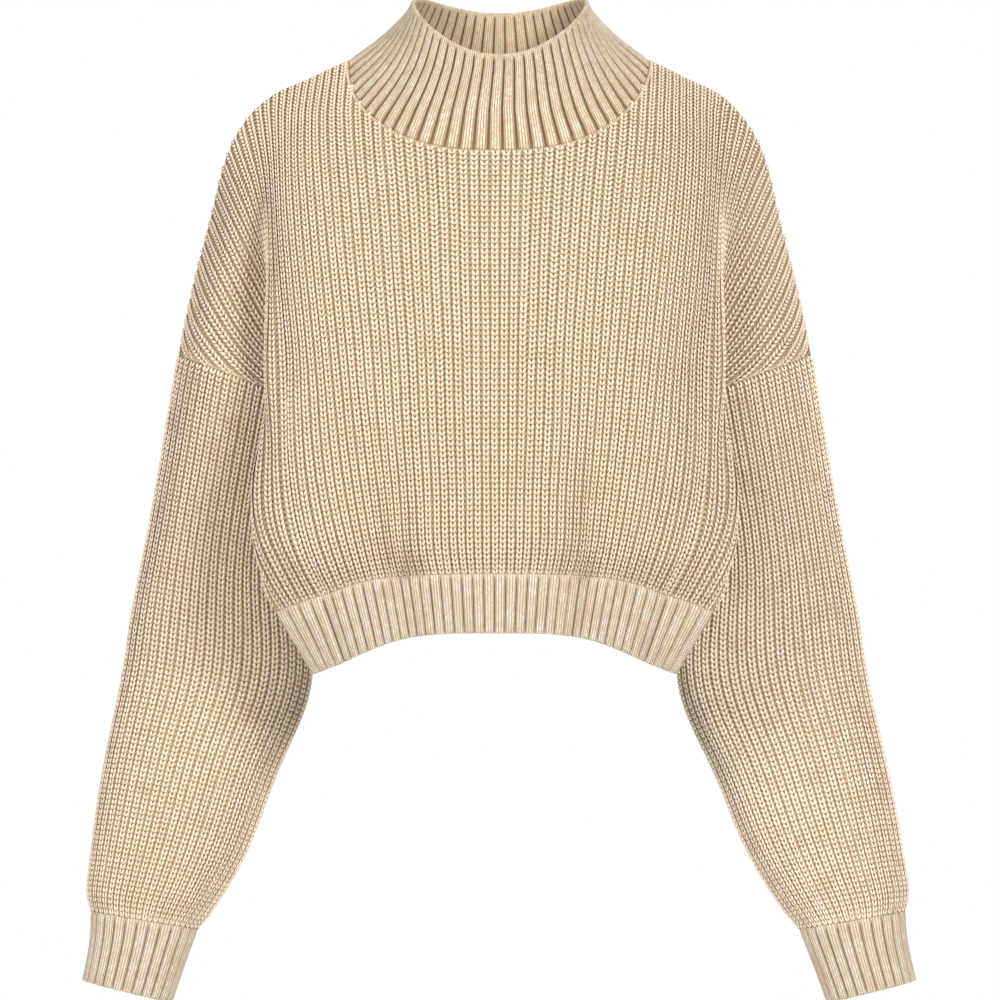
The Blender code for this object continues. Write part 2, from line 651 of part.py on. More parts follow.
def knit_material(name, colour):
    """Matt wool-like cloth."""
    material = bpy.data.materials.new(name)
    material.use_nodes = True
    shader = material.node_tree.nodes["Principled BSDF"]
    shader.inputs["Base Color"].default_value = (*colour, 1.0)
    shader.inputs["Roughness"].default_value = 0.9
    shader.inputs["Metallic"].default_value = 0.0
    return material


def clear_scene():
    """Remove every object of the open scene."""
    for item in list(bpy.data.objects):
        bpy.data.objects.remove(item, do_unlink=True)


def main():
    """Build the sweater's nine sewn pieces."""
    clear_scene()
    collection = bpy.data.collections.new("cropped_knit_sweater")
    bpy.context.scene.collection.children.link(collection)
    knit = knit_material("main_knit", COLOURS["main_knit"])
    band = knit_material("rib_band", COLOURS["rib_band"])
    front = Panel(-1, FRONT_COURSES, FRONT_TROUGHS, FRONT_NECK_DROP, FRONT_HEM_EDGE)
    back = Panel(1, BACK_COURSES, BACK_TROUGHS, BACK_NECK_DROP, BACK_HEM_EDGE)
    neck = Neck(front, back, 2 * COLLAR_RIBS * NECK_SAMPLES)
    make_panel("front", front, back, neck, knit, collection)
    make_panel("back", back, front, neck, knit, collection)
    make_hem("hem_front", front, back, band, collection)
    make_hem("hem_back", back, front, band, collection)
    make_collar(neck, band, collection)
    for side, word in ((1, "left"), (-1, "right")):
        make_tube(f"sleeve_{word}", SLEEVE_SECTIONS, side, SLEEVE_RIBS, SLEEVE_RUNS,
                  KNIT_WALL, KNIT_RELIEF, knit, collection)
        make_tube(f"cuff_{word}", CUFF_SECTIONS, side, CUFF_RIBS, CUFF_RUNS,
                  BAND_WALL, BAND_RELIEF, band, collection)


main()
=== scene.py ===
"""Looks of a cropped knit sweater: rib knit laid stitch by stitch, ribbed bands and a linked neck seam.

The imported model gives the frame. Every cloth piece here follows the same sections and courses as its
solid, as a thin shell, and Geometry Nodes set the stitches on it. Metres, +Z up, front towards -Y,
the wearer's left towards +X. The form tables are in millimetres.
"""

from __future__ import annotations

import logging
import math
from abc import ABC, abstractmethod
from dataclasses import dataclass, replace
from enum import Enum
from typing import NamedTuple, Sequence

import bpy
import numpy as np
from bpy.types import Material, Mesh, Node, NodeTree, Object
from bpy.types import NodeSocket as Socket
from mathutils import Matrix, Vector
from numpy import ndarray as Array

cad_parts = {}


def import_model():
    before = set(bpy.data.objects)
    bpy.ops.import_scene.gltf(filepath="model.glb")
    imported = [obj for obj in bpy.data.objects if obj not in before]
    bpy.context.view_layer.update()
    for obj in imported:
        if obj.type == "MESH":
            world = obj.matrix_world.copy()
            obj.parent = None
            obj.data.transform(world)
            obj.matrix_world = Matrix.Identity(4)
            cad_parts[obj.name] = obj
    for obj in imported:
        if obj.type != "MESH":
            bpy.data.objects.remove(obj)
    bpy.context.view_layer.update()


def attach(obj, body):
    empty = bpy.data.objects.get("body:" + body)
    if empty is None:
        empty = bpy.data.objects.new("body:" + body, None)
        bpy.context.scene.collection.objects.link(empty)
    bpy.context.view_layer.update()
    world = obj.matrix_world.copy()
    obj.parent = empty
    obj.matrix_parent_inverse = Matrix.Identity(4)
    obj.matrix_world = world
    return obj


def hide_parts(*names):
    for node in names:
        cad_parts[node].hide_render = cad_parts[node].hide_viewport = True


LOG = logging.getLogger("sweater")
MM = 0.001
BODY = "root"

Point = tuple[float, float, float]
Colour = tuple[float, float, float]


class Side(Enum):
    """The wearer's left or right."""

    LEFT = 1
    RIGHT = -1


class Facing(Enum):
    """Which way a body panel looks along Y."""

    FRONT = -1
    BACK = 1

    @property
    def other(self) -> Facing:
        """The opposite way."""
        return Facing(-self.value)


# ------------------------------------------------------------------ form tables


class Course(NamedTuple):
    """A row across half a body panel: its rise, then where the ribs of each station pass."""

    rise: float
    centre: Point
    chest: Point
    lobe: Point
    brow: Point
    fold: Point
    tuck: Point
    flank: Point
    seam: Point


class Section(NamedTuple):
    """A leaning elliptical section of a sleeve or cuff; lean is in degrees."""

    run: float
    x: float
    y: float
    z: float
    half_width: float
    half_depth: float
    lean: float


class Trough(NamedTuple):
    """A soft upright trough: its rib, half-width in ribs, deepest rise, reach upwards and depth."""

    rib: float
    spread: float
    lowest: float
    reach: float
    depth: float


# Ribs are counted from a panel's centre, and up to SHARED_RIBS a rib's number is its station. Rises go
# from 0 at the hem to 1 at the shoulder seam, with the side seam's end at UNDERARM_RISE.
STATION_RIBS = (0, 12, 21, 25, 29, 34, 39, 44)
SHARED_RIBS = 25.0
EDGE_RISES = (0.0, 0.42, 1.0)
EDGE_RIBS = (31.0, 36.0, 44.5)
LAST_FREE_RIB = 43.25
UNDERARM_RISE = EDGE_RISES[1]
FRONT_NECK_DROP = 0.218
BACK_NECK_DROP = 0.085
NECK_HALF_RIBS = 14.5
NECK_SQUARENESS = 2.5
NECK_CORNER_RIBS = (13.75, 14.25, 14.4)
SLEEVE_RIBS = 48
COLLAR_RIBS = 56
HEM_RIBS = 42
CUFF_RIBS = 24

SHOULDER_SEAM = Course(1.000, (0, 12, 14), (93.5, 12, 11.5), (143, 12, -8.9), (165.5, 12, -21),
                       (188.6, 12, -50), (203.5, 13, -100), (216, 16, -150), (227.5, 26, -205))
FRONT_COURSES = (
    Course(0.000, (0, -86, -362), (62, -83, -363.5), (104, -71, -370.5), (123, -60, -377.5),
           (131, -56, -380), (140, -50, -383), (149, -42, -386.5), (157, -32, -390)),
    Course(0.045, (0, -93, -346), (66, -91, -347), (111, -82, -351), (134, -71, -356),
           (143, -65, -358), (154, -56, -361), (163, -44, -366), (165, -29, -372)),
    Course(0.120, (0, -97, -318), (69, -95, -318), (119, -85, -322), (144, -72, -326),
           (156, -64, -329), (169, -50, -333), (171, -31, -337), (154, -12, -338)),
    Course(0.270, (0, -100, -262), (74, -97, -262), (127, -86, -265), (150, -73, -268),
           (161, -63, -271), (168, -43, -277), (141, -15, -283), (124, 12, -285)),
    Course(0.420, (0, -102, -203), (78, -98, -203), (131, -84, -206), (151, -70, -210),
           (164, -56, -218), (147, -41, -244), (118.5, -17, -257), (121.5, 26, -245)),
    Course(0.545, (0, -99, -154), (82, -94, -154), (136, -79, -157), (154, -66, -161),
           (163, -52, -169), (153, -37, -190), (136, -31, -222), (133, -13, -240.5)),
    Course(0.680, (0, -88, -101), (86, -81, -103), (141, -66, -107), (157, -55, -113),
           (163, -42, -126), (163, -29, -156), (167, -30, -194), (166, -35, -228)),
    Course(0.820, (0, -62, -45), (91, -53, -48), (144, -38, -58), (160, -33, -70),
           (171, -30, -91), (182, -27, -128), (194, -27, -170), (204, -25, -214)),
    SHOULDER_SEAM,
)
BACK_COURSES = (
    Course(0.000, (0, 70, -362), (73, 61, -364.5), (117, 27, -376), (134, 5, -383),
           (139, -3, -384.5), (145, -12, -386.5), (151, -22, -388.5), (157, -32, -390)),
    Course(0.045, (0, 77, -346), (72, 70, -348), (117, 40, -356), (133, 20, -361),
           (139, 10, -364), (147, -3, -366), (156, -15, -369), (165, -29, -372)),
    Course(0.120, (0, 83, -318), (75, 79, -318), (117, 56, -324), (124, 40, -328),
           (128, 28, -331), (134, 14, -333), (143, 1, -336), (154, -12, -338)),
    Course(0.270, (0, 87, -262), (78, 84, -262), (121, 66, -267), (122, 52, -271),
           (119, 40, -275), (117, 31, -279), (119, 22, -282), (124, 12, -285)),
    Course(0.420, (0, 92, -203), (80, 90, -203), (134, 79, -207), (138, 75, -215),
           (128, 68, -227), (117, 56, -240), (113, 42, -249), (121.5, 26, -245)),
    Course(0.545, (0, 95, -154), (83, 93, -154), (138, 86, -158), (151, 77, -165),
           (151, 63, -175), (138, 56, -198), (126, 57, -226), (133, 65, -240.5)),
    Course(0.680, (0, 90, -101), (86, 87, -103), (141, 77, -107), (157, 69, -113),
           (163, 61, -126), (160, 57, -157), (158, 64, -198), (166, 87, -228)),
    Course(0.820, (0, 66, -45), (91, 63, -48), (144, 55, -58), (160, 50, -70),
           (172, 50, -90), (183, 54, -127), (194, 64, -170), (204, 77, -214)),
    SHOULDER_SEAM,
)
FRONT_HEM_EDGE = Course(-0.12, (0, -82, -403.6), (56, -79, -406), (92, -68, -417), (107, -57, -424),
                        (112.5, -52, -426.5), (119, -45, -429), (125, -38, -431.5), (130.5, -31, -433.5))
BACK_HEM_EDGE = Course(-0.12, (0, 66, -401), (64, 58, -407), (103, 27, -421), (116, 5, -428),
                       (120, -3, -429.5), (124, -12, -431), (127.5, -21, -432.5), (130.5, -31, -433.5))
FRONT_TROUGHS = (
    Trough(-12.5, 2.7, 0.07, 0.17, 12.0),
    Trough(12.0, 2.7, 0.07, 0.18, 13.0),
)
BACK_TROUGHS = (
    Trough(-14.0, 3.2, 0.10, 0.16, 8.0),
    Trough(1.5, 3.0, 0.08, 0.13, 6.0),
    Trough(15.5, 3.2, 0.08, 0.18, 9.0),
)
HEM_TROUGH_SHARE = 0.8
SLEEVE_SECTIONS = (
    Section(0.00, 174.5, 26, -225, 56.65, 62.0, 20.67),
    Section(0.10, 182.0, 34, -265, 55.3, 55.0, 12.0),
    Section(0.21, 190.0, 43, -310, 55.0, 48.0, 8.0),
    Section(0.33, 196.5, 52, -360, 58.0, 42.0, 8.0),
    Section(0.45, 198.2, 58, -410, 65.9, 38.5, 9.0),
    Section(0.53, 201.7, 60, -440, 66.8, 37.0, 10.5),
    Section(0.66, 217.4, 54, -490, 61.2, 36.0, 13.0),
    Section(0.81, 235.3, 40, -550, 55.0, 34.0, 15.0),
    Section(0.91, 248.2, 28, -588, 47.2, 31.5, 13.0),
    Section(0.96, 253.0, 22, -602, 43.2, 29.0, 11.0),
    Section(1.00, 255.2, 19, -612, 38.4, 26.2, 9.5),
)
CUFF_SECTIONS = (
    SLEEVE_SECTIONS[-1]._replace(run=0.0),
    Section(0.35, 258.6, 16, -628, 35.4, 24.7, 11.5),
    Section(1.00, 267.9, 10, -662.5, 32.4, 22.8, 14.0),
)
RIM_CENTRE = (0.0, -7.0, 24.5)
RIM_HALF_WIDTH = 62.5
RIM_HALF_DEPTH = 56.0
RIM_SIDE_LIFT = 23.0
RIM_BACK_LIFT = 16.5
COLLAR_BOW = 23.8
SWAY_HEIGHTS = (-660, -588, -526, -470, -430, -250, -130, -30, 0, 50)
SWAY_SHIFTS = (1.0, -0.2, -1.4, -2.4, -2.4, -2.3, -2.3, -1.7, 0.6, 1.5)
PROBE = 0.02
TUBE_SAMPLES = 721
NECK_QUARTER_SAMPLES = 181
NECK_SAMPLES = 672
RIB_SAMPLES = 401


# ------------------------------------------------------------------ curves and directions


def natural_spline(knots: Sequence[float], values: Array, places: Array) -> Array:
    """Reads a smooth curve through a row of points.

    Args:
        knots: Where along the curve each point lies, rising.
        values: One point per knot.
        places: Where to read the curve.

    Returns:
        One point per place.
    """
    knots = np.asarray(knots, float)
    values = np.asarray(values, float)
    places = np.atleast_1d(np.asarray(places, float))
    steps = np.diff(knots)
    slopes = np.diff(values, axis=0) / steps[:, None]
    matrix = np.eye(len(knots))
    right = np.zeros_like(values)
    for i in range(1, len(knots) - 1):
        matrix[i, i - 1:i + 2] = steps[i - 1], 2 * (steps[i - 1] + steps[i]), steps[i]
        right[i] = 6 * (slopes[i] - slopes[i - 1])
    bend = np.linalg.solve(matrix, right)
    index = np.clip(np.searchsorted(knots, places) - 1, 0, len(steps) - 1)
    step = steps[index][:, None]
    after = (places - knots[index])[:, None]
    before = step - after
    return (
        (bend[index] * before ** 3 + bend[index + 1] * after ** 3) / (6 * step)
        + (values[index] / step - bend[index] * step / 6) * before
        + (values[index + 1] / step - bend[index + 1] * step / 6) * after
    )


def unit(vectors: Array) -> Array:
    """Vectors brought to length one."""
    vectors = np.asarray(vectors, float)
    return vectors / np.maximum(np.linalg.norm(vectors, axis=-1, keepdims=True), 1e-12)


def smooth_step(value: Array) -> Array:
    """0 below 0, 1 above 1, with a soft start and end."""
    value = np.clip(value, 0.0, 1.0)
    return value * value * (3 - 2 * value)


def dot(first: Array, second: Array) -> Array:
    """Scalar product along the last axis, which is kept."""
    return np.sum(first * second, axis=-1, keepdims=True)


def swayed(points: Array) -> Array:
    """Points with the garment's small sideways drift."""
    moved = points.copy()
    moved[..., 0] += MM * np.interp(points[..., 2] / MM, SWAY_HEIGHTS, SWAY_SHIFTS)
    return moved


def running_length(points: Array) -> Array:
    """Distance along each column of a grid of points, from its first row."""
    steps = np.linalg.norm(np.diff(points, axis=0), axis=-1)
    return np.concatenate([np.zeros((1, points.shape[1])), np.cumsum(steps, axis=0)])


def grid_normals(points: Array, flip: float, is_round: bool) -> Array:
    """Directions square to a grid of points.

    Args:
        points: Rows of points, across and down.
        flip: 1 or -1, to turn them outwards.
        is_round: Whether the last column meets the first.

    Returns:
        One direction per point.
    """
    if is_round:
        across = np.roll(points, -1, axis=1) - np.roll(points, 1, axis=1)
    else:
        across = np.gradient(points, axis=1)
    return unit(np.cross(across, np.gradient(points, axis=0)) * flip)


# ------------------------------------------------------------------ forms


class TubeForm:
    """Sleeve or cuff: leaning elliptical sections along a bent axis."""

    def __init__(self, sections: Sequence[Section], side: Side) -> None:
        """Keeps the sections and the side."""
        self.sections = sections
        self.side = side.value

    def points(self, turns: Array, runs: Array) -> Array:
        """Points of the groove surface.

        Args:
            turns: Angles round the tube, from its underarm side and past the front.
            runs: Shares of the way down.

        Returns:
            A grid of points, a row per run.
        """
        runs = np.atleast_1d(np.asarray(runs, float))
        turns = np.asarray(turns, float)
        rows = [section[1:] for section in self.sections]
        table = natural_spline([section.run for section in self.sections], rows, runs)
        x, y, z, half_width, half_depth, lean = (column[:, None] for column in table.T)
        lean = np.radians(lean)
        across = -np.cos(turns)[None, :]
        along = -np.sin(turns)[None, :]
        return MM * np.stack([
            self.side * (x + half_width * across * np.cos(lean)),
            y + half_depth * along,
            z + half_width * across * np.sin(lean),
        ], axis=-1)

    def plane(self, section: Section) -> Array:
        """Direction square to a section, back towards the armhole."""
        lean = math.radians(section.lean)
        return np.array([-self.side * math.sin(lean), 0.0, math.cos(lean)])

    def normals(self, turns: Array, runs: Array) -> Array:
        """Directions out of the tube, kept in the plane of the section at both ends."""
        turns = np.asarray(turns, float)
        runs = np.atleast_1d(np.asarray(runs, float))
        low, high = np.maximum(runs - PROBE, 0), np.minimum(runs + PROBE, 1)
        down = self.points(turns, high) - self.points(turns, low)
        around = self.points(turns + PROBE, runs) - self.points(turns - PROBE, runs)
        normals = unit(np.cross(down, around) * self.side)
        for run, section in ((0.0, self.sections[0]), (1.0, self.sections[-1])):
            plane = self.plane(section)
            near = smooth_step(1 - np.abs(runs - run) / (2 * PROBE))[:, None, None]
            normals = unit(normals - near * plane * dot(normals, plane))
        return normals

    def turns_at(self, shares: Array) -> Array:
        """Angles at shares of the way round the middle section, from the underarm side."""
        fine = np.linspace(0, 2 * math.pi, TUBE_SAMPLES)
        ring = self.points(fine, np.array([0.5]))[0]
        lengths = running_length(ring[:, None])[:, 0]
        return np.interp(np.asarray(shares) * lengths[-1], lengths, fine)


class PanelForm:
    """Front or back. A point on it is named by its rib, counted from the centre, and its rise."""

    def __init__(self, facing: Facing, courses: Sequence[Course], troughs: Sequence[Trough],
                 neck_drop: float, hem_edge: Course) -> None:
        """Mirrors the half rows of the table into whole ones."""
        self.facing = facing.value
        self.troughs = troughs
        self.neck_drop = neck_drop
        self.rises = [course.rise for course in courses]
        self.grid = np.array([self.mirrored(course) for course in courses], float)
        self.hem_row = self.mirrored(hem_edge)
        self.stations = [-rib for rib in STATION_RIBS[:0:-1]] + list(STATION_RIBS)

    @staticmethod
    def mirrored(course: Course) -> Array:
        """A course from the wearer's right side seam to the left one."""
        half = [np.array(point, float) for point in course[1:]]
        other = [point * (-1, 1, 1) for point in half[:0:-1]]
        return np.array(other + half)

    @staticmethod
    def edge_rib(rise: Array) -> Array:
        """Rib number of the panel's side at a height: the panel widens upwards."""
        return np.interp(rise, EDGE_RISES, EDGE_RIBS)

    @staticmethod
    def bottom_rise(rib: Array) -> Array:
        """Where a rib begins: at the hem, or higher up at the side seam or the armhole."""
        return np.interp(np.minimum(np.abs(rib), LAST_FREE_RIB), EDGE_RIBS, EDGE_RISES)

    def trough_depth(self, rib: Array, rise: Array) -> Array:
        """How far the troughs press the cloth in towards the middle of the garment."""
        depth = np.zeros(np.broadcast(rib, rise).shape)
        for trough in self.troughs:
            across = np.exp(-((rib - trough.rib) / trough.spread) ** 2)
            up = np.exp(-(np.maximum(rise - trough.lowest, 0) / trough.reach) ** 2)
            depth = depth + trough.depth * MM * across * up
        return depth

    def edge(self, rise: Array) -> Array:
        """The panel's left side: up the side seam, then round its half of the armhole."""
        lower = [row for row, at in enumerate(self.rises) if at <= UNDERARM_RISE]
        knots = [self.rises[row] for row in lower]
        seam = MM * natural_spline(knots, self.grid[lower, -1], np.minimum(rise, UNDERARM_RISE))
        turns = -self.facing * math.pi * (rise - UNDERARM_RISE) / (1 - UNDERARM_RISE)
        armhole = TubeForm(SLEEVE_SECTIONS, Side.LEFT).points(turns, np.array([0.0]))[0]
        return np.where(rise[:, None] > UNDERARM_RISE, armhole, seam)

    def stations_at(self, rib: Array, rise: Array) -> Array:
        """Station of a rib, which is the rib itself nearer the centre."""
        size = np.minimum(np.abs(rib), self.edge_rib(rise))
        share = (STATION_RIBS[-1] - SHARED_RIBS) / (self.edge_rib(rise) - SHARED_RIBS)
        beyond = np.maximum(size - SHARED_RIBS, 0) * share
        return np.sign(rib) * (np.minimum(size, SHARED_RIBS) + beyond)

    def points(self, rib: Array, rise: Array) -> Array:
        """Points of the groove surface, for arrays of ribs and rises."""
        rib, rise = np.broadcast_arrays(np.asarray(rib, float), np.asarray(rise, float))
        shape = rib.shape
        rib, rise = rib.ravel(), rise.ravel()
        station = self.stations_at(rib, rise)
        across = natural_spline(self.stations, np.eye(len(self.stations)), station)
        up = natural_spline(self.rises, np.eye(len(self.rises)), rise)
        points = MM * np.einsum("mr,mc,rcx->mx", up, across, self.grid)
        points[:, 1] -= self.facing * self.trough_depth(rib, rise)
        free = MM * natural_spline(self.rises, self.grid[:, -1], rise)
        first = STATION_RIBS[-3]
        pull = smooth_step((np.abs(station) - first) / (STATION_RIBS[-1] - first))[:, None]
        mirror = np.stack([np.sign(rib), np.ones_like(rib), np.ones_like(rib)], axis=-1)
        points += pull * (self.edge(rise) - free) * mirror
        return points.reshape(*shape, 3)

    def normals(self, rib: Array, rise: Array) -> Array:
        """Directions out of the cloth at the same places."""
        rib, rise = np.broadcast_arrays(np.asarray(rib, float), np.asarray(rise, float))
        limit = self.edge_rib(rise)
        rib = np.clip(rib, -limit, limit)
        left, right = np.maximum(rib - 0.5, -limit), np.minimum(rib + 0.5, limit)
        across = self.points(right, rise) - self.points(left, rise)
        low, high = np.maximum(rise - PROBE, 0), np.minimum(rise + PROBE, 1)
        up = self.points(rib, high) - self.points(rib, low)
        return unit(np.cross(across, up) * -self.facing)

    def top_rise(self, rib: Array) -> Array:
        """Where a rib ends: at the shoulder seam, or lower down at the neck."""
        inside = np.maximum(0.0, 1 - np.abs(np.asarray(rib, float) / NECK_HALF_RIBS) ** NECK_SQUARENESS)
        return 1 - self.neck_drop * np.sqrt(inside)

    def rises_at(self, rib: Array, share: Array) -> Array:
        """Rises at shares of a rib's own length; the neck draws only the upper ones down."""
        bottom = self.bottom_rise(rib)
        return bottom + (1 - bottom) * share - (1 - self.top_rise(rib)) * smooth_step(share) ** 2

    def hem_points(self, ribs: Array, shares: Array) -> Array:
        """Grid of points of the hem band under this panel, its seam first."""
        level = np.zeros_like(ribs)
        top = self.points(ribs, level)
        bottom = MM * natural_spline(self.stations, self.hem_row, self.stations_at(ribs, level))
        bottom[:, 1] -= self.facing * self.trough_depth(ribs, level) * HEM_TROUGH_SHARE
        share = np.asarray(shares)[:, None, None]
        return top[None] * (1 - share) + bottom[None] * share


class NeckForm:
    """The neck seam and the collar that stands on it, by share of the way round.

    The way starts at the front centre and goes to the wearer's left.
    """

    def __init__(self, front: PanelForm, back: PanelForm) -> None:
        """Joins the two panels' neck edges into one ring."""
        self.front = front
        self.back = back
        angles = np.linspace(0, math.pi / 2, NECK_QUARTER_SAMPLES)
        ribs = NECK_HALF_RIBS * np.sin(angles)
        front_half = front.points(ribs, front.top_rise(ribs))
        back_half = back.points(ribs, back.top_rise(ribs))[::-1][1:]
        half = np.concatenate([front_half, back_half])
        ribs = np.concatenate([ribs, ribs[::-1][1:]])
        in_front = np.concatenate([np.ones(len(angles)), np.zeros(len(angles) - 1)])
        self.ring = np.concatenate([half, half[::-1][1:] * (-1, 1, 1)])
        self.ribs = np.concatenate([ribs, -ribs[::-1][1:]])
        self.in_front = np.concatenate([in_front, in_front[::-1][1:]])
        self.lengths = running_length(self.ring[:, None])[:, 0]

    @property
    def length(self) -> float:
        """Length of the seam all round."""
        return float(self.lengths[-1])

    def seam(self, shares: Array) -> Array:
        """Points of the seam."""
        at = (np.asarray(shares) % 1.0) * self.length
        return np.stack([np.interp(at, self.lengths, self.ring[:, k]) for k in range(3)], axis=-1)

    def collar(self, shares: Array, heights: Array) -> Array:
        """Grid of collar points, a row for each share of the collar's height."""
        base = self.seam(shares)
        turn = 2 * math.pi * np.asarray(shares)
        back, side = -np.cos(turn), np.sin(turn)
        rim = MM * np.stack([
            RIM_CENTRE[0] + RIM_HALF_WIDTH * side,
            RIM_CENTRE[1] + RIM_HALF_DEPTH * back,
            RIM_CENTRE[2] + RIM_BACK_LIFT * back + RIM_SIDE_LIFT * side * side,
        ], axis=-1)
        height = np.asarray(heights, float)[:, None]
        bow = COLLAR_BOW * MM * height * (1 - height) * side ** 2
        rows = base[None] + (rim - base)[None] * height[..., None]
        rows[..., 0] -= np.sign(side) * bow
        return rows

    def normals(self, shares: Array) -> Array:
        """Directions out of the cloth along the seam, between those of the panels and the collar."""
        shares = np.asarray(shares, float)
        at = (shares % 1.0) * self.length
        ribs = np.interp(at, self.lengths, self.ribs)
        is_front = np.interp(at, self.lengths, self.in_front)[:, None] > 0.5
        lying = np.where(is_front, self.front.normals(ribs, self.front.top_rise(ribs)),
                         self.back.normals(ribs, self.back.top_rise(ribs)))
        step = 0.5 / COLLAR_RIBS
        along = self.seam(shares + step) - self.seam(shares - step)
        rows = self.collar(shares, np.array([0.0, 0.1]))
        standing = unit(np.cross(along, rows[1] - rows[0]))
        return unit(lying + standing)

    def normals_near(self, points: Array) -> Array:
        """Shared directions at the places of the seam nearest to some points."""
        shares = np.linspace(0, 1, NECK_SAMPLES, endpoint=False)
        seam = self.seam(shares)
        apart = np.linalg.norm(points[:, None] - seam[None], axis=-1)
        return self.normals(shares)[np.argmin(apart, axis=1)]


# ------------------------------------------------------------------ finishes


def srgb(red: int, green: int, blue: int) -> Colour:
    """A screen colour as the shader's linear one."""
    shares = [channel / 255 for channel in (red, green, blue)]
    return tuple(s / 12.92 if s <= 0.04045 else ((s + 0.055) / 1.055) ** 2.4 for s in shares)


class NodeBench:
    """Adds and links nodes of one tree in short calls."""

    def __init__(self, tree: NodeTree) -> None:
        """Works on the given tree."""
        self.tree = tree

    def add(self, kind: str, **settings: object) -> Node:
        """Adds a node and sets its properties."""
        node = self.tree.nodes.new(kind)
        for name, value in settings.items():
            setattr(node, name, value)
        return node

    def put(self, socket: Socket, source: object) -> None:
        """Links a socket to another one, or sets its plain value."""
        if isinstance(source, Socket):
            self.tree.links.new(source, socket)
        elif socket.type == "RGBA":
            socket.default_value = (*source[:3], 1.0)
        else:
            socket.default_value = source

    def feed(self, node: Node, **sources: object) -> Node:
        """Sets or links a node's inputs, named with underscores for spaces.

        Args:
            node: The node that takes the inputs.
            **sources: For each input, a socket to link or a plain value.

        Returns:
            The same node.
        """
        for name, source in sources.items():
            wanted = name.replace("_", " ")
            self.put(next(s for s in node.inputs if s.enabled and s.name == wanted), source)
        return node

    def math(self, operation: str, first: object, second: object = 0.0) -> Socket:
        """Result of a sum on one or two numbers."""
        node = self.add("ShaderNodeMath", operation=operation)
        for socket, source in zip(node.inputs, (first, second)):
            self.put(socket, source)
        return node.outputs[0]

    def plus(self, first: object, second: object) -> Socket:
        """Two numbers added."""
        return self.math("ADD", first, second)

    def minus(self, first: object, second: object) -> Socket:
        """The second number taken from the first."""
        return self.math("SUBTRACT", first, second)

    def times(self, first: object, second: object) -> Socket:
        """Two numbers multiplied."""
        return self.math("MULTIPLY", first, second)

    def partly(self, share: object, depth: float) -> Socket:
        """A share from 0 to 1 that takes away no more than a depth."""
        return self.plus(self.times(share, depth), 1 - depth)

    def from_middle(self, value: object) -> Socket:
        """How far the fraction of a number is from a half."""
        return self.math("ABSOLUTE", self.minus(self.math("FRACT", value), 0.5))

    def blend(self, share: object, first: object, second: object) -> Socket:
        """Mixes two colours."""
        node = self.add("ShaderNodeMix", data_type="RGBA")
        colours = [s for s in node.inputs if s.type == "RGBA"]
        for socket, source in ((node.inputs[0], share), (colours[0], first), (colours[1], second)):
            self.put(socket, source)
        return next(s for s in node.outputs if s.type == "RGBA")

    def span(self, value: object, low: float, high: float) -> Socket:
        """A number stretched from low..high to 0..1 and kept there."""
        node = self.add("ShaderNodeMapRange", clamp=True)
        return self.feed(node, Value=value, From_Min=low, From_Max=high).outputs[0]

    def noise(self, place: Socket, scale: float, detail: float) -> Socket:
        """A soft random pattern, from 0 to 1."""
        node = self.add("ShaderNodeTexNoise")
        return self.feed(node, Vector=place, Scale=scale, Detail=detail).outputs[0]

    def carried(self, name: str) -> Socket:
        """A number that the mesh carries."""
        return self.add("ShaderNodeAttribute", attribute_name=name).outputs["Fac"]

    def stitch_numbers(self) -> tuple[Socket, Socket]:
        """Rib and course number at a place of a shell."""
        split = self.add("ShaderNodeSeparateXYZ")
        self.feed(split, Vector=self.add("ShaderNodeUVMap", uv_map="stitches").outputs[0])
        return split.outputs[0], split.outputs[1]


